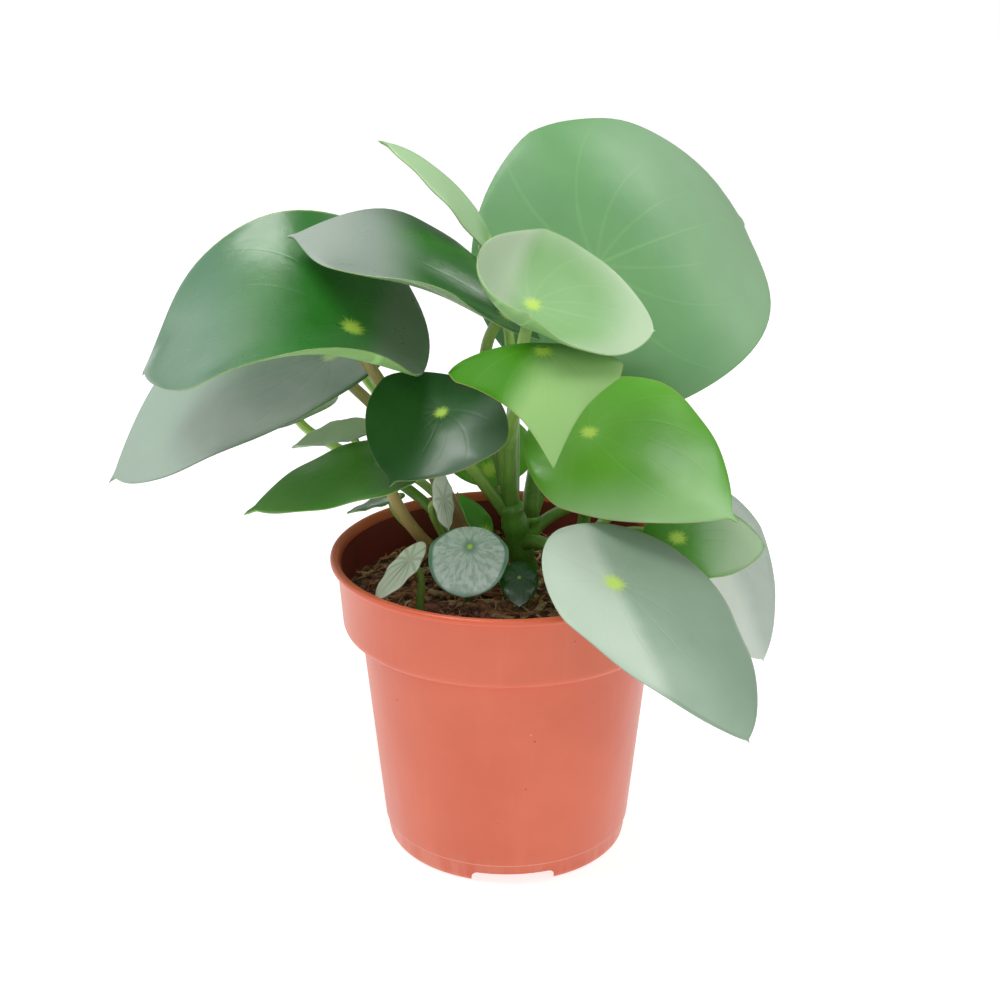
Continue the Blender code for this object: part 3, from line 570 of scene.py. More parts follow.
# Leaves: spot is where the stalk meets the blade, aim its heading, pitch and roll there,
# size the length and width. left and right curl each half, at the base and at the tip.
# foot is the stem and the height on its trunk, out the stalk's first direction, and reach
# how far it follows its first and its last direction. back is the share of the length behind
# the stalk, droop the bend ahead of it and behind, and lean makes the left half wider.
leafUsual = {"back": 0.28, "blunt": 0.75, "taper": 0.5, "point": 0.06, "droop": (15, 5),
             "left": (0, 0), "right": (0, 0), "lean": 0.0, "reach": (20, 14), "girth": 2.1,
             "thick": 1.0, "stalk": "green"}
leaves = {
    "leaf_left_dome": {"skin": "deep", "spot": (-50, -5, 184), "aim": (184, 25, 24),
        "size": (112, 88), "back": 0.24, "point": 0.03, "droop": (88, 0), "left": (95, -52),
        "right": (0, 50), "foot": ("stem_left", 100), "out": (172, 68), "reach": (63, 3),
        "stalk": "tan"},
    "leaf_top_left": {"skin": "olive", "spot": (0, 0, 187.5), "aim": (182, 38, 36),
        "size": (95, 53), "back": 0.15, "blunt": 1.1, "taper": 1.25, "point": 0.03,
        "droop": (52, 5), "left": (120, 5), "right": (-75, 0), "lean": -0.08,
        "foot": ("stem_main", 116), "out": (150, 75), "reach": (35, 22), "stalk": "olive"},
    "leaf_top_centre": {"skin": "pale", "spot": (8, -15, 194), "aim": (-5, -15, -30),
        "size": (66, 56), "back": 0.4, "blunt": 0.65, "point": 0.01, "droop": (-10, -70),
        "left": (40, 20), "right": (88, 30), "lean": -0.06, "foot": ("stem_main", 118),
        "out": (258, 74), "reach": (42, 4)},
    "leaf_left_low": {"skin": "sage", "spot": (-60, 20, 167.5), "aim": (184, -13, 20),
        "size": (124, 80), "back": 0.24, "blunt": 0.8, "taper": 0.9, "point": 0.03,
        "droop": (38, -10), "left": (15, 10), "right": (20, 0), "lean": -0.12,
        "foot": ("stem_left", 98), "out": (110, 60), "reach": (40, 10), "stalk": "tan"},
    "leaf_left_under": {"skin": "silver", "spot": (-75.5, 36, 145.3), "aim": (186, -14, 4),
        "size": (60, 41), "droop": (20, 5), "left": (10, 0), "right": (20, 10),
        "foot": ("stem_left", 95), "out": (140, 62), "reach": (40, 16), "girth": 1.8},
    "leaf_left_small": {"skin": "silver", "spot": (-52.5, 13, 144), "aim": (190, -8, 0),
        "size": (30, 22), "foot": ("stem_left", 97), "out": (150, 75), "reach": (40, 12),
        "girth": 1.5},
    "leaf_left_green": {"skin": "mid", "spot": (-40, -15, 141.5), "aim": (190, -8, 8),
        "size": (67, 42), "back": 0.27, "droop": (22, 5), "left": (10, 0), "right": (-5, -5),
        "lean": 0.12, "foot": ("stem_left", 93), "out": (205, 35), "reach": (24, 14),
        "stalk": "tan"},
    "leaf_centre_dark": {"skin": "dark", "spot": (-21, -25, 161.5), "aim": (227, -28, 6),
        "size": (47, 47), "back": 0.36, "blunt": 0.65, "droop": (25, 10), "left": (-20, -20),
        "right": (20, 20), "foot": ("stem_main", 112), "out": (195, 55), "reach": (24, 14)},
    "leaf_top_narrow": {"skin": "pale", "spot": (-5, 32, 204), "aim": (198, 65, 32),
        "size": (57, 23), "back": 0.08, "droop": (50, 5), "right": (-70, -70), "lean": 0.1,
        "foot": ("stem_main", 117), "out": (82, 68), "reach": (88, 5), "girth": 1.7},
    "leaf_back_large": {"skin": "large", "spot": (31, 38, 195), "aim": (12, 22, -62),
        "size": (127, 104), "back": 0.34, "blunt": 0.5, "droop": (72, 10), "left": (-10, -30),
        "right": (-50, 20), "foot": ("stem_back", 104), "out": (60, 80), "reach": (50, 22),
        "girth": 2.5},
    "leaf_right_bright": {"skin": "bright", "spot": (27, -8, 149.5), "aim": (-33, -9, -22),
        "size": (78, 61), "back": 0.26, "blunt": 0.8, "point": 0.04, "droop": (32, 5),
        "left": (0, -20), "right": (-20, -40), "lean": 0.09, "foot": ("stem_right", 98),
        "out": (60, 70), "reach": (26, 16)},
    "leaf_centre_shield": {"skin": "lush", "spot": (11, -33, 184), "aim": (-83, -25, 3),
        "size": (54, 56), "back": 0.24, "blunt": 2.0, "droop": (42, 85), "left": (-20, -60),
        "right": (-28, -50), "lean": -0.06, "foot": ("stem_main", 119), "out": (180, 76),
        "reach": (34, 15)},
    "leaf_right_small": {"skin": "mid", "spot": (57, -10, 113), "aim": (0, -2, -30),
        "size": (42, 32), "blunt": 0.65, "point": 0.015, "droop": (12, 0),
        "foot": ("stem_right", 95), "out": (-20, 50), "reach": (34, 6), "girth": 1.7},
    "leaf_right_back": {"skin": "silver", "spot": (74, 31, 97), "aim": (2, -66, -66),
        "size": (76, 33), "blunt": 0.7, "point": 0.02, "droop": (5, 0), "left": (25, 25),
        "foot": ("stem_right", 92), "out": (30, 62), "reach": (50, 20), "girth": 1.9},
    "leaf_front_right": {"skin": "grey", "spot": (33, -57, 116.5), "aim": (-49, -22, 0),
        "size": (92, 60), "back": 0.285, "blunt": 0.8, "point": 0.01, "droop": (15, -8),
        "left": (-5, -30), "right": (-15, -15), "lean": 0.25, "foot": ("stem_main", 103),
        "out": (-55, 35), "reach": (30, 16), "girth": 2.2},
    "leaf_behind_stalks": {"skin": "bright", "spot": (-6, 17, 128), "aim": (92, 50, 0),
        "size": (32, 30), "back": 0.2, "blunt": 0.6, "droop": (15, 0), "foot": ("stem_back", 97),
        "out": (170, 60), "reach": (12, 9), "girth": 1.5},
    "leaf_low_left": {"skin": "deep", "spot": (-40, 11, 119.5), "aim": (190, -14, -10),
        "size": (21, 15), "back": 0.25, "droop": (5, 5), "foot": ("stem_left", 92),
        "out": (170, 50), "reach": (12, 8), "girth": 1.3, "thick": 0.8},
    "leaf_back_left": {"skin": "deep", "spot": (-22, 52, 132), "aim": (112, -25, 0),
        "size": (50, 42), "droop": (25, 10), "left": (15, 5), "right": (15, 5),
        "foot": ("stem_back", 99), "out": (150, 60), "reach": (22, 14)},
    "leaf_back_right": {"skin": "mid", "spot": (46, 48, 120), "aim": (58, -22, 0), "size": (62, 50),
        "droop": (30, 10), "left": (15, 0), "right": (20, 5), "foot": ("stem_back", 96),
        "out": (50, 50), "reach": (18, 14)},
    "leaf_back_high": {"skin": "deep", "spot": (44, 62, 164), "aim": (66, -16, 0), "size": (72, 58),
        "droop": (35, 10), "left": (20, 0), "right": (10, 5), "foot": ("stem_back", 102),
        "out": (45, 68), "reach": (34, 20)},
    "leaf_back_far_left": {"skin": "mid", "spot": (-62, 66, 170), "aim": (160, -8, -8),
        "size": (50, 42), "droop": (25, 10), "left": (20, 5), "right": (15, 5),
        "foot": ("stem_left", 96), "out": (130, 62), "reach": (56, 17)},
    "young_round": {"skin": "frosted", "spot": (-12, -28, 117), "aim": (-100, -45, 0),
        "size": (25, 25), "back": 0.3, "blunt": 0.5, "point": 0.01, "droop": (5, 10),
        "left": (10, 0), "right": (10, 0), "foot": ("stalk_round", 91), "out": (-70, 70),
        "reach": (10, 8), "girth": 1.5, "thick": 0.8},
    "young_pale": {"skin": "folded", "spot": (-32, -25, 111), "aim": (212, -42, -5),
        "size": (26, 14), "back": 0.3, "blunt": 0.6, "droop": (0, 0), "foot": ("stalk_pale", 91),
        "out": (90, 80), "reach": (8, 6), "girth": 1.3, "thick": 0.8},
    "young_silver": {"skin": "folded", "spot": (-21, -10, 126), "aim": (-60, -72, 35),
        "size": (20, 13), "back": 0.5, "blunt": 0.5, "droop": (0, 0), "foot": ("stem_left", 92),
        "out": (190, 55), "reach": (12, 7), "girth": 1.2, "thick": 0.8},
    "young_dark": {"skin": "ink", "spot": (4, -25, 105), "aim": (-90, -50, 0), "size": (16, 12),
        "back": 0.35, "blunt": 0.6, "droop": (10, 5), "foot": ("stalk_dark", 91), "out": (60, 80),
        "reach": (6, 5), "girth": 1.3, "thick": 0.8},
    "young_lance": {"skin": "mid", "spot": (-7.5, -5, 112.5), "aim": (190, 62, 55), "size": (21, 9),
        "back": 0.15, "blunt": 0.8, "droop": (10, 0), "left": (40, 40), "right": (40, 40),
        "foot": ("stem_main", 99), "out": (215, 35), "reach": (6, 4), "girth": 1.2, "thick": 0.8},
}
# margin is the rim's share of the thickness, dimple and ripple are heights
bladeMaking = {"rows": 48, "columns": 24, "smallLeaf": 45, "margin": 0.35, "dimple": 0.7,
               "dimpleRadius": 5.0, "dimpleFrom": 60, "ripple": 0.35, "waves": 21}


def arcSlope(distance, bend, reach):
    # along and up an arc that bends by so many degrees over its reach, and the slope there
    if abs(bend) < 0.01 or reach <= 0:
        return distance, 0.0, 0.0
    turn = math.radians(bend) / reach
    angle = turn * distance
    return math.sin(angle) / turn, -(1 - math.cos(angle)) / turn, angle


def bladeAxes(aim):
    heading, pitch, roll = (math.radians(angle) for angle in aim)
    ahead = pointing(heading, pitch)
    up = (Vector((0.0, 0.0, 1.0)) - math.sin(pitch) * ahead).normalized()
    side = up.cross(ahead)
    return (ahead, side * math.cos(roll) - up * math.sin(roll),
            up * math.cos(roll) + side * math.sin(roll))


def halfWidth(share, leaf):
    if share <= 0 or share >= 1:
        return 0.0
    blunt, taper = leaf["blunt"], leaf["taper"]
    widest = taper / (taper + blunt)
    peak = widest ** taper * (1 - widest) ** blunt
    along = min(share / (1 - leaf["point"]), 1.0)
    body = along ** taper * (1 - along) ** blunt / peak
    tip = (1 - share) * min(3 * share, 1.0) ** (2 * taper)
    return (body ** 3 + tip ** 3) ** (1 / 3)


def bladePoint(leaf, axes, share, across):
    # a point of the middle surface, and where it lies on the flattened blade
    length, width = leaf["size"]
    ahead, left, out = axes
    distance = (share - leaf["back"]) * length
    if distance >= 0:
        along, rise, slope = arcSlope(distance, leaf["droop"][0], (1 - leaf["back"]) * length)
    else:
        along, rise, slope = arcSlope(-distance, leaf["droop"][1], leaf["back"] * length)
        along, slope = -along, -slope
    curlBase, curlTip = leaf["left"] if across > 0 else leaf["right"]
    curl = math.radians(curlBase + (curlTip - curlBase) * share)
    half = 0.5 * width * halfWidth(share, leaf)
    half *= 1 + (leaf["lean"] if across > 0 else -leaf["lean"])
    offset = half * abs(across)
    sideways, lift = offset, 0.0
    if abs(curl) > 0.001:
        turn = curl / (0.5 * width)
        sideways, lift = math.sin(turn * offset) / turn, (1 - math.cos(turn * offset)) / turn
    along += lift * math.sin(slope)
    rise += lift * math.cos(slope)
    point = (Vector(leaf["spot"]) + along * ahead + math.copysign(sideways, across) * left
             + rise * out)
    return point, (distance, math.copysign(offset, across))


def camelName(node):
    first, *others = node.split("_")
    return first + "".join(word.capitalize() for word in others)


def growBlade(node, leaf):
    rows, columns = bladeMaking["rows"], bladeMaking["columns"]
    if leaf["size"][0] < bladeMaking["smallLeaf"]:
        rows, columns = rows // 2, columns // 2
    axes = bladeAxes(leaf["aim"])
    points = np.zeros((rows + 1, columns + 1, 3))
    flat = np.zeros((rows + 1, columns + 1, 2))
    grid = np.zeros((rows + 1, columns + 1, 2))
    for row in range(rows + 1):
        share = 0.5 * (1 - math.cos(math.pi * row / rows))
        for column in range(columns + 1):
            across = math.sin(0.5 * math.pi * (2 * column / columns - 1))
            points[row, column], flat[row, column] = bladePoint(leaf, axes, share, across)
            grid[row, column] = share, abs(across)
    steps = np.cross(np.gradient(points, axis=0), np.gradient(points, axis=1))
    steps[0], steps[-1] = steps[1], steps[-2]
    outward = steps / np.linalg.norm(steps, axis=2, keepdims=True)
    # thinner towards the rim, with a shallow dimple over the stalk and faintly rippled margins
    share, across = grid[:, :, 0], grid[:, :, 1]
    ends = np.minimum(share, 1 - share)
    slim = np.sqrt(np.clip(1 - across ** 18, 0, 1)) * np.clip(ends / 0.02, 0.3, 1)
    half = 0.5 * leaf["thick"] * np.maximum(slim, bladeMaking["margin"])
    apart = np.hypot(flat[:, :, 0], flat[:, :, 1])
    dimple = bladeMaking["dimple"] * np.exp(-(apart / bladeMaking["dimpleRadius"]) ** 2)
    dimple *= min(1.0, leaf["size"][0] / bladeMaking["dimpleFrom"])
    wave = np.sin(share * bladeMaking["waves"] + sum(leaf["spot"])) * np.sin(math.pi * share)
    middle = points + outward * (bladeMaking["ripple"] * across ** 3 * wave - dimple)[:, :, None]
    thick = outward * half[:, :, None]
    verts = np.concatenate([(middle + thick).reshape(-1, 3), (middle - thick).reshape(-1, 3)])
    count = len(verts) // 2
    index = np.arange(count).reshape(rows + 1, columns + 1)
    faces = []
    for row in range(rows):
        for column in range(columns):
            a, b = int(index[row, column]), int(index[row, column + 1])
            c, d = int(index[row + 1, column + 1]), int(index[row + 1, column])
            faces += [(a, d, c, b), (a + count, b + count, c + count, d + count)]
    slots = [0, 1] * (rows * columns)
    rim = np.concatenate([index[:, 0], index[-1, 1:], index[-2::-1, -1], index[0, -2:0:-1]])
    for first, second in zip(rim.tolist(), np.roll(rim, -1).tolist()):
        faces.append((first, first + count, second + count, second))
        slots.append(0)
    name = camelName(node)
    reach = (1 - leaf["back"]) * leaf["size"][0] * mm
    skin = {**skinUsual, **leafSkins[leaf["skin"]]}
    paints = [paintLeafFace(name, skin, reach, leafPaintedSheens.get(node, ())),
              paintLeafBack(name, skin, reach)]
    layers = {"bladePlace": np.tile(flat.reshape(-1, 2) / bladeMap + 0.5, (2, 1)),
              "bladeGrid": np.tile(grid.reshape(-1, 2), (2, 1))}
    addPiece(name, verts, faces, slots, paints, node, layers, 0.00001, turnOut=True)


for node, values in leaves.items():
    leaves[node] = {**leafUsual, **values}
    growBlade(node, leaves[node])
print("leaves grown:", len(leaves))


# Stems: each trunk from its foot on the soil to its top, with a radius at each
stems = {
    "stem_main": {"foot": (6.5, 11, 91), "top": (1.5, 5, 119), "radii": (5.0, 4.2)},
    "stem_left": {"foot": (-11, 4, 91), "top": (-12, 5, 101), "radii": (4.2, 3.6)},
    "stem_right": {"foot": (24, 14, 91), "top": (25, 13, 99), "radii": (4.0, 3.4)},
    "stem_back": {"foot": (8, 32, 90), "top": (8, 31, 105), "radii": (4.4, 3.8)},
    "stalk_round": {"foot": (-13, -12, 91), "top": (-13, -12, 92), "radii": (1.8, 1.7)},
    "stalk_pale": {"foot": (-29, -22, 91), "top": (-29, -22, 92), "radii": (1.5, 1.4)},
    "stalk_dark": {"foot": (5, -18, 91), "top": (5, -18, 92), "radii": (1.5, 1.4)},
}
stemTones = {
    "trunk": {"low": (0.038, 0.125, 0.018), "high": (0.125, 0.33, 0.04), "rough": 0.32},
    "green": {"low": (0.11, 0.27, 0.036), "high": (0.33, 0.52, 0.11), "rough": 0.36},
    "tan": {"low": (0.3, 0.15, 0.055), "high": (0.4, 0.34, 0.12), "rough": 0.4},
    "olive": {"low": (0.1, 0.2, 0.03), "high": (0.23, 0.37, 0.07), "rough": 0.4},
}
# flares widen a stalk at its trunk and under its blade, and fall off along it; knuckles are
# rings on a trunk, and cap the rise and girth of its rounded top; neck is how far below the
# blade's spot the stalk's curve ends, and seats are the rings beyond it
stemMaking = {"sides": 16, "steps": 26, "levels": 18, "sunk": 5.0, "sunkGirth": 1.05,
              "knuckle": 0.10, "knuckleTurns": 19, "girth": 1.10, "thinning": 0.24,
              "rootFlare": 0.35, "rootFall": 22, "seatFlare": 0.30, "seatFall": 26,
              "cap": ((0.35, 0.75), (0.5, 0.3)), "neck": 2.8, "seats": (1.4, 2.6)}


def paintStem(name, tone):
    material, tree, shader = newFinish(name + "Stem", tone["rough"], 0.1, 0.25)
    skin = addNode(tree, "ShaderNodeUVMap", uv_map="stemSkin").outputs["UV"]
    spot = surfaceSpot(tree)
    clouds = place(tree, cloudGroup, Place=spot, Scale=120.0, Contrast=0.6)["Mask"]
    rise = plus(tree, ease(tree, split(tree, skin)["Y"], 0.0, 0.9, 0.1, 0.85),
                times(tree, calc(tree, "SUBTRACT", clouds, 0.5), 0.35), clamp=True)
    colour = blendColours(tree, rise, tone["low"], tone["high"])
    streak = noiseAt(tree, vectorCalc(tree, "MULTIPLY", skin, (26.0, 3.0, 1.0))[0], 1.0, 3.0)
    streaks = ease(tree, streak, 0.52, 0.75, 0.0, 0.35)
    colour = blendColours(tree, streaks, colour, [0.55 * value for value in tone["low"]])
    pores = place(tree, dustGroup, Place=spot, Scale=650.0, Size=0.30, Share=0.30)["Mask"]
    colour = blendColours(tree, times(tree, pores, 0.35), colour, (0.42, 0.44, 0.20))
    grain = place(tree, grainGroup, Place=spot, Fine=1800.0, Coarse=160.0, Swell=0.6)["Height"]
    finishWith(tree, shader, colour, plus(tree, times(tree, streak, 0.8), grain), 0.5, 0.0005)
    return material


stemPaints = {name: paintStem(name, tone) for name, tone in stemTones.items()}


def sweep(path, radii, sides, first=0):
    # rings round a path, turned without twist; returns points, faces and (round, along)
    path = [Vector(point) for point in path]
    forward = [(path[min(i + 1, len(path) - 1)] - path[max(i - 1, 0)]).normalized()
               for i in range(len(path))]
    across = forward[0].orthogonal().normalized()
    lengths = [0.0]
    for before, after in zip(path, path[1:]):
        lengths.append(lengths[-1] + (after - before).length)
    verts, skin = [], []
    for i, point in enumerate(path):
        across = (across - across.dot(forward[i]) * forward[i]).normalized()
        other = forward[i].cross(across)
        for side in range(sides + 1):
            angle = 2 * math.pi * side / sides
            verts.append(point + radii[i] * (across * math.cos(angle) + other * math.sin(angle)))
            skin.append((side / sides, lengths[i] / lengths[-1]))
    faces = []
    for i in range(len(path) - 1):
        for side in range(sides):
            a = first + i * (sides + 1) + side
            faces.append((a, a + 1, a + sides + 2, a + sides + 1))
    last = first + (len(path) - 1) * (sides + 1)
    faces.append(tuple(first + side for side in reversed(range(sides))))
    faces.append(tuple(last + side for side in range(sides)))
    return verts, faces, skin


def trunkPath(stem):
    # a trunk from below the soil to its rounded top, with faint knuckles
    foot, top = Vector(stem["foot"]), Vector(stem["top"])
    low, high = stem["radii"]
    path, radii = [foot - Vector((0, 0, stemMaking["sunk"]))], [low * stemMaking["sunkGirth"]]
    for step in range(stemMaking["levels"] + 1):
        share = step / stemMaking["levels"]
        wave = math.sin(share * stemMaking["knuckleTurns"] + foot.x) ** 3 * min(1.0, low / 4)
        path.append(foot + (top - foot) * share)
        radii.append((low + (high - low) * share) * (1 + stemMaking["knuckle"] * wave))
    for rise, shrunk in stemMaking["cap"]:
        path.append(top + (top - foot).normalized() * rise * high)
        radii.append(high * shrunk)
    return path, radii


def stalkPath(leaf):
    # a curve from the trunk to the blade's underside
    group, height = leaf["foot"]
    foot, top = Vector(stems[group]["foot"]), Vector(stems[group]["top"])
    start = foot + (top - foot) * min(max((height - foot.z) / (top.z - foot.z), 0.0), 1.0)
    away = pointing(*(math.radians(angle) for angle in leaf["out"]))
    out = bladeAxes(leaf["aim"])[2]
    neck = Vector(leaf["spot"]) - out * stemMaking["neck"]
    controls = (start, start + away * leaf["reach"][0], neck - out * leaf["reach"][1], neck)
    path = []
    for step in range(stemMaking["steps"]):
        share = step / (stemMaking["steps"] - 1)
        rest = 1 - share
        path.append(rest ** 3 * controls[0] + 3 * rest ** 2 * share * controls[1]
                    + 3 * rest * share ** 2 * controls[2] + share ** 3 * controls[3])
    path += [neck + out * seat for seat in stemMaking["seats"]]
    radii = []
    for step in range(len(path)):
        share = step / (len(path) - 1)
        flare = stemMaking["rootFlare"] * math.exp(-share * stemMaking["rootFall"])
        seat = stemMaking["seatFlare"] * math.exp(-(1 - share) * stemMaking["seatFall"])
        radii.append(leaf["girth"] * (stemMaking["girth"] - stemMaking["thinning"] * share
                                      + flare + seat))
    return path, radii


def growStem(group, stem):
    tubes = [(*trunkPath(stem), "trunk")]
    tubes += [(*stalkPath(leaf), leaf["stalk"]) for leaf in leaves.values()
              if leaf["foot"][0] == group]
    tones = sorted({tone for _, _, tone in tubes})
    verts, faces, skin, slots = [], [], [], []
    for path, radii, tone in tubes:
        made = sweep(path, radii, stemMaking["sides"], len(verts))
        verts += made[0]
        faces += made[1]
        skin += made[2]
        slots += [tones.index(tone)] * len(made[1])
    addPiece(camelName(group), verts, faces, slots, [stemPaints[tone] for tone in tones],
             group, {"stemSkin": skin}, 0.000005)


for group, stem in stems.items():
    growStem(group, stem)
print("stems grown:", len(stems))


# Soil with clods, bark chips and coir
soil = {"level": 89.0, "mound": 3.0, "moundRadius": 55.4, "radius": 56.0, "rings": 64,
        "turns": 180, "skirtRadius": 54.5, "skirtFoot": 82.0, "seed": 41,
        "clods": 300, "clodSize": (0.5, 1.9), "clodReach": 52.0,
        "chips": 170, "chipLength": (4.0, 15.0), "chipWidth": (1.0, 3.4),
        "chipThickness": (0.7, 1.8), "chipReach": 53.5,
        "fibres": 560, "fibreLength": (5.0, 26.0), "fibreBend": (-0.32, 0.32),
        "fibreTurn": (-0.22, 0.22), "fibreSteps": 9, "fibreSides": 5, "fibreSpots": (8.0, 53.0),
        "fibreReach": 54.5, "fibreLeast": 4,
        "fibreArch": (0.2, 0.4, 0.8, 1.5, 3.0), "fibreRadius": (0.15, 0.22, 0.30, 0.42)}
soilGrains = ((0.16, 3.0, 1.3), (0.55, 9.0, 0.9), (1.5, 5.0, 0.4))  # scale, seed, height
# the dark and the light tone of each soil finish, and the scale of its clouds
soilTones = {
    "darkCompost": ((0.07, 0.032, 0.025), (0.33, 0.165, 0.13), 160.0),
    "clodCompost": ((0.08, 0.037, 0.028), (0.38, 0.19, 0.15), 220.0),
    "darkBark": ((0.26, 0.095, 0.06), (0.52, 0.22, 0.14), 300.0),
    "tanBark": ((0.45, 0.27, 0.17), (0.68, 0.47, 0.32), 300.0),
    "coirBrown": ((0.4, 0.165, 0.095), (0.64, 0.29, 0.17), 400.0),
    "coirDark": ((0.18, 0.078, 0.055), (0.36, 0.165, 0.11), 400.0),
    "coirTan": ((0.56, 0.33, 0.19), (0.78, 0.53, 0.34), 400.0),
}


def soilHeight(x, y):
    fall = max(0.0, 1 - (math.hypot(x, y) / soil["moundRadius"]) ** 2)
    lumps = math.sin(0.31 * x + 1.0) * math.cos(0.37 * y) + 0.6 * math.sin(0.63 * x - 0.52 * y)
    height = soil["level"] + soil["mound"] * fall + 0.7 * lumps * min(1.0, 4 * fall)
    for scale, seed, rise in soilGrains:
        height += noise.noise(Vector((x * scale, y * scale, seed))) * rise
    return height


def paintSoil(name):
    dark, light, scale = soilTones[name]
    material, tree, shader = newFinish(name, 0.92, 0.0, 0.1, 0.25)
    spot = surfaceSpot(tree)
    clouds = place(tree, cloudGroup, Place=spot, Scale=scale, Contrast=0.9)["Mask"]
    colour = blendColours(tree, clouds, dark, light)
    grit = place(tree, dustGroup, Place=spot, Scale=520.0, Size=0.45, Share=0.25)["Mask"]
    colour = blendColours(tree, times(tree, grit, 0.6), colour, (0.34, 0.16, 0.11))
    height = place(tree, grainGroup, Place=spot, Fine=900.0, Coarse=350.0, Swell=1.0)["Height"]
    finishWith(tree, shader, colour, height, 0.9, 0.0012)
    return material


def addSoilPiece(name, verts, faces, slots, paints, node=None):
    addPiece(name, verts, faces, slots, [paintSoil(paint) for paint in paints], node)


def fillSoil():
    rings, turns = soil["rings"], soil["turns"]
    angles = [2 * math.pi * turn / turns for turn in range(turns)]
    verts = [(0.0, 0.0, soilHeight(0, 0))]
    for ring in range(1, rings + 1):
        radius = soil["radius"] * ring / rings
        for angle in angles:
            x, y = radius * math.cos(angle), radius * math.sin(angle)
            verts.append((x, y, soilHeight(x, y)))
    # a skirt below the edge, so that no light shows between soil and pot
    radius = soil["skirtRadius"]
    verts += [(radius * math.cos(angle), radius * math.sin(angle), soil["skirtFoot"])
              for angle in angles]
    faces = []
    for turn in range(turns):
        after = (turn + 1) % turns
        faces.append((0, 1 + turn, 1 + after))
        for ring in range(rings):
            a, b = 1 + ring * turns + turn, 1 + ring * turns + after
            faces.append((a, a + turns, b + turns, b))
    faces.append(tuple(1 + rings * turns + turn for turn in reversed(range(turns))))
    addSoilPiece("soilBed", verts, faces, [0] * len(faces), ["darkCompost"], "soil")


def scatterSpot(rng, inner, outer):
    radius = math.sqrt(rng.uniform(inner ** 2, outer ** 2))
    angle = rng.uniform(0, 2 * math.pi)
    return radius * math.cos(angle), radius * math.sin(angle)


def takeShape(bm, first):
    # the shape's points and its faces as they are numbered in the piece
    points = [vert.co.copy() for vert in bm.verts]
    faces = [tuple(first + vert.index for vert in face.verts) for face in bm.faces]
    bm.free()
    return points, faces


def scatterClods(rng):
    verts, faces = [], []
    for _ in range(soil["clods"]):
        x, y = scatterSpot(rng, 0.0, soil["clodReach"])
        size = rng.uniform(*soil["clodSize"])
        bm = bmesh.new()
        bmesh.ops.create_icosphere(bm, subdivisions=2, radius=1.0)
        points, added = takeShape(bm, len(verts))
        offset = Vector([rng.uniform(0, 90) for _ in range(3)])
        # flattened a little, with the lower part in the soil
        base = soilHeight(x, y) + 0.3 * size
        for point in points:
            point *= size * (1 + 0.5 * noise.noise(point * 1.6 + offset))
            verts.append((x + point.x, y + point.y, base + 0.8 * point.z))
        faces += added
    addSoilPiece("soilClods", verts, faces, [0] * len(faces), ["clodCompost"])


def scatterChips(rng):
    verts, faces, slots = [], [], []
    for _ in range(soil["chips"]):
        long, wide, thick = (rng.uniform(*soil[key]) for key in
                             ("chipLength", "chipWidth", "chipThickness"))
        # far enough in that no end of a chip meets the pot's wall
        x, y = scatterSpot(rng, 0.0, soil["chipReach"] - 0.68 * long - 0.3 * wide)
        bm = bmesh.new()
        bmesh.ops.create_cube(bm, size=1.0)
        bmesh.ops.subdivide_edges(bm, edges=bm.edges, cuts=2, use_grid_fill=True)
        points, added = takeShape(bm, len(verts))
        heading, tip = rng.uniform(0, math.pi), rng.uniform(-0.35, 0.35)
        ahead = pointing(heading, tip)
        side = Vector((-math.sin(heading), math.cos(heading), rng.uniform(-0.3, 0.3))).normalized()
        up = ahead.cross(side)
        offset = Vector((rng.uniform(0, 90), rng.uniform(0, 90), 0))
        base = Vector((x, y, soilHeight(x, y) + 0.4 * thick))
        for point in points:
            rough = 1 + 0.35 * noise.noise(point * 3.0 + offset)
            verts.append(base + ahead * point.x * long * rough + side * point.y * wide * rough
                         + up * point.z * thick)
        faces += added
        slots += [rng.choice((0, 0, 1))] * len(added)
    addSoilPiece("barkChips", verts, faces, slots, ["darkBark", "tanBark"])


def scatterFibres(rng):
    verts, faces, slots = [], [], []
    steps = soil["fibreSteps"]
    for _ in range(soil["fibres"]):
        x, y = scatterSpot(rng, *soil["fibreSpots"])
        heading = rng.uniform(0, 2 * math.pi)
        length, bend = rng.uniform(*soil["fibreLength"]), rng.uniform(*soil["fibreBend"])
        arch = rng.choice(soil["fibreArch"])
        path = []
        for step in range(steps):
            if math.hypot(x, y) > soil["fibreReach"]:
                break
            lift = 0.25 + arch * math.sin(math.pi * step / (steps - 1))
            path.append((x, y, soilHeight(x, y) + lift))
            heading += bend + rng.uniform(*soil["fibreTurn"])
            x += math.cos(heading) * length / steps
            y += math.sin(heading) * length / steps
        if len(path) < soil["fibreLeast"]:
            continue
        thick, last = rng.choice(soil["fibreRadius"]), len(path) - 1
        radii = [thick * (1 - 0.6 * abs(2 * i / last - 1) ** 3) for i in range(last + 1)]
        made = sweep(path, radii, soil["fibreSides"], len(verts))
        verts += made[0]
        faces += made[1]
        slots += [rng.choice((0, 0, 1, 1, 2))] * len(made[1])
    addSoilPiece("coirFibres", verts, faces, slots, ["coirBrown", "coirDark", "coirTan"])


fillSoil()
scatterClods(random.Random(soil["seed"]))
scatterChips(random.Random(soil["seed"] + 1))
scatterFibres(random.Random(soil["seed"] + 2))
print("soil filled")


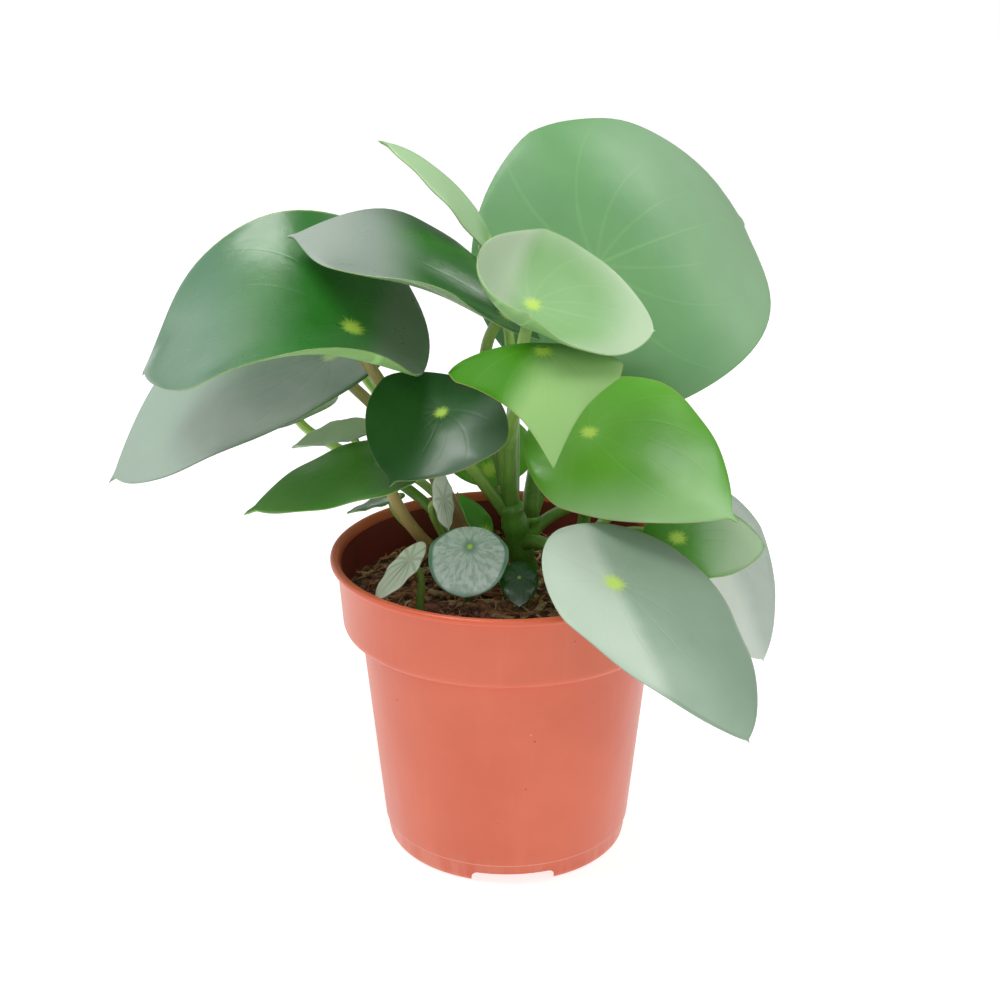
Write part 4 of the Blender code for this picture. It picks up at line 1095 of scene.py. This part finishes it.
# Pot: (radius, height) of the outer side from the lip down, then of the inner side. The
# shaded inner wall lies between the shaded radii and heights. smoothBelow is the angle
# between faces under which the surface looks smooth.
pot = {
    "floor": 5.0, "turns": 192, "smoothBelow": 38,
    "shadedRadii": (42.2, 56.4), "shadedHeights": (6.5, 103.0),
    "notchAngles": (-87.0, 33.0, 153.0), "notchWidth": 28.0, "notchHeight": 3.6,
    "notchCircle": 41.0, "notchDepth": 10.0, "notchRound": 2.0,
    "drainRadius": 3.5, "drainCircle": 27.0, "drainDepth": 6.0, "drains": 6,
    "outer": [(58.6, 105.0), (59.3, 104.85), (59.8, 104.45), (60.0, 103.8), (59.95, 103.2),
              (59.6, 102.8), (58.6, 102.55), (57.85, 102.3), (57.6, 101.6), (56.25, 82.4),
              (56.1, 81.2), (55.7, 80.2), (55.0, 79.5), (54.0, 79.1), (53.0, 79.0),
              (51.2, 79.0), (50.5, 78.8), (50.1, 78.3), (50.0, 77.4), (43.05, 7.4), (42.95, 7.15),
              (42.6, 7.0), (42.55, 6.7), (42.4, 6.4), (42.0, 2.2), (41.7, 0.9), (41.1, 0.15),
              (40.6, 0.0), (40.1, 0.0), (40.05, 0.4), (40.4, 5.0), (10.6, 5.0), (10.2, 4.6),
              (10.0, 0.3), (9.7, 0.0), (0.0, 0.0)],
    "inner": [(0.0, 6.2), (40.6, 6.2), (41.4, 6.5), (41.8, 7.4), (48.75, 79.2), (49.0, 79.9),
              (49.6, 80.2), (53.2, 80.2), (54.2, 80.6), (54.8, 81.4), (55.0, 82.4),
              (56.35, 102.2), (56.9, 103.6), (57.4, 104.5), (58.0, 104.9)],
}
# the shade tones are those of the inner wall, and lip is a painted highlight on the lip's lit top
potTones = {
    "shadeDeep": (0.17, 0.024, 0.02), "shadeFresh": (0.25, 0.036, 0.03),
    "shadeGrit": (0.045, 0.022, 0.013), "deep": (0.61, 0.11, 0.052),
    "fresh": (0.69, 0.142, 0.068), "flow": (0.77, 0.21, 0.115), "lip": (0.73, 0.125, 0.055),
    "line": (0.8, 0.42, 0.3), "scuff": (0.72, 0.33, 0.24), "dust": (0.8, 0.52, 0.42),
    "crumb": (0.06, 0.03, 0.02),
}


def paintPotInside():
    material, tree, shader = newFinish("shadedPlastic", 0.42, 0.0, 0.1, 0.4)
    spot = surfaceSpot(tree)
    clouds = place(tree, cloudGroup, Place=spot, Scale=40.0, Contrast=0.5)["Mask"]
    colour = blendColours(tree, clouds, potTones["shadeDeep"], potTones["shadeFresh"])
    grit = place(tree, dustGroup, Place=spot, Scale=420.0, Size=0.30, Share=0.18)["Mask"]
    colour = blendColours(tree, times(tree, grit, 0.6), colour, potTones["shadeGrit"])
    grain = place(tree, grainGroup, Place=spot, Fine=1500.0, Coarse=45.0, Swell=0.6)["Height"]
    finishWith(tree, shader, colour, grain, 0.35, 0.0005)
    return material


def paintPot():
    material, tree, shader = newFinish("terracottaPlastic", 0.36)
    spot = surfaceSpot(tree)
    height = split(tree, spot)["Z"]
    drawn = vectorCalc(tree, "MULTIPLY", spot, (90.0, 90.0, 7.0))[0]
    flow = noiseAt(tree, drawn, 1.0, 3.0, 0.6)
    clouds = place(tree, cloudGroup, Place=spot, Scale=26.0, Contrast=0.45)["Mask"]
    colour = blendColours(tree, clouds, potTones["deep"], potTones["fresh"])
    # the moulding's parting line near the foot, and scuffs below it
    apart = calc(tree, "ABSOLUTE", calc(tree, "SUBTRACT", height, 0.0071))
    scuffs = place(tree, cloudGroup, Place=drawn, Scale=2.2, Contrast=1.0)["Mask"]
    dust = place(tree, dustGroup, Place=spot, Scale=260.0, Size=0.13, Share=0.03)["Mask"]
    crumbs = place(tree, dustGroup, Place=spot, Scale=330.0, Size=0.15, Share=0.02)["Mask"]
    for tone, share in (
            ("flow", ease(tree, flow, 0.50, 0.80, 0.0, 0.22)),
            # painted highlight: a brighter orange over the top of the lip
            ("lip", times(tree, ease(tree, height, 0.1018, 0.1032), 0.6)),
            ("line", ease(tree, apart, 0.00012, 0.00045, 0.55, 0.0)),
            ("scuff", times(tree, scuffs, ease(tree, height, 0.001, 0.012, 0.30, 0.0))),
            ("dust", times(tree, dust, 0.4)),
            ("crumb", times(tree, crumbs, 0.8))):
        colour = blendColours(tree, share, colour, potTones[tone])
    feed(tree, shader.inputs["Roughness"], plus(tree, ease(tree, flow, 0.3, 0.8, 0.30, 0.40),
                                                times(tree, dust, 0.3), clamp=True))
    grain = place(tree, grainGroup, Place=spot, Fine=1500.0, Coarse=45.0, Swell=0.6)["Height"]
    finishWith(tree, shader, colour, plus(tree, grain, times(tree, flow, 0.35)), 0.35, 0.0005)
    return material


def addCutter(tools, bm, radius, turn, height):
    mesh = bpy.data.meshes.new("cutter")
    bm.to_mesh(mesh)
    bm.free()
    cutter = bpy.data.objects.new("cutter", mesh)
    cutter.location = (radius * mm * math.cos(turn), radius * mm * math.sin(turn), height * mm)
    tools.objects.link(cutter)
    return cutter


def mouldPot():
    points = pot["outer"] + pot["inner"]
    start = len(pot["outer"])
    # the outline is open at the axis, between the outer and the inner side
    edges = [(i, i + 1) for i in range(len(points) - 1) if i + 1 != start]
    edges.append((len(points) - 1, 0))
    mesh = bpy.data.meshes.new("pot")
    mesh.from_pydata([(radius * mm, 0.0, height * mm) for radius, height in points], edges, [])
    piece = bpy.data.objects.new("potShell", mesh)
    bpy.context.scene.collection.objects.link(piece)
    turned = piece.modifiers.new("turned", "SCREW")
    turned.steps = turned.render_steps = pot["turns"]
    turned.use_merge_vertices = True
    turned.merge_threshold = 0.00001
    tools = bpy.data.collections.new("potTools")
    bpy.context.scene.collection.children.link(tools)
    for angle in pot["notchAngles"]:
        bm = bmesh.new()
        bmesh.ops.create_cube(bm, size=1.0)
        for vert in bm.verts:
            vert.co = (vert.co.x * pot["notchDepth"] * mm, vert.co.y * pot["notchWidth"] * mm,
                       vert.co.z * 2 * pot["notchHeight"] * mm)
        upper = [edge for edge in bm.edges if all(vert.co.z > 0 for vert in edge.verts)
                 and abs(edge.verts[0].co.x - edge.verts[1].co.x) > mm]
        bmesh.ops.bevel(bm, geom=upper, offset=pot["notchRound"] * mm, segments=5, profile=0.5,
                        affect="EDGES")
        turn = math.radians(angle)
        addCutter(tools, bm, pot["notchCircle"], turn, 0.0).rotation_euler.z = turn
    for index in range(pot["drains"]):
        bm = bmesh.new()
        bmesh.ops.create_cone(bm, cap_ends=True, segments=32, radius1=pot["drainRadius"] * mm,
                              radius2=pot["drainRadius"] * mm, depth=pot["drainDepth"] * mm)
        addCutter(tools, bm, pot["drainCircle"], 2 * math.pi * index / pot["drains"],
                  pot["floor"])
    cut = piece.modifiers.new("cut", "BOOLEAN")
    cut.operation = "DIFFERENCE"
    cut.operand_type = "COLLECTION"
    cut.collection = tools
    depsgraph = bpy.context.evaluated_depsgraph_get()
    made = bpy.data.meshes.new_from_object(piece.evaluated_get(depsgraph))
    piece.modifiers.clear()
    piece.data = made
    for cutter in list(tools.objects):
        bpy.data.objects.remove(cutter, do_unlink=True)
    bpy.data.collections.remove(tools)
    made.materials.clear()
    made.materials.append(paintPot())
    made.materials.append(paintPotInside())
    (near, far), (low, high) = pot["shadedRadii"], pot["shadedHeights"]
    for face in made.polygons:
        x, y, z = face.center / mm
        inward = face.normal.x * x + face.normal.y * y < 0
        if inward and near < math.hypot(x, y) < far and low < z < high:
            face.material_index = 1
    made.shade_smooth()
    made.set_sharp_from_angle(angle=math.radians(pot["smoothBelow"]))
    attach(piece, "root")
    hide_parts("pot")


mouldPot()
print("pot moulded")
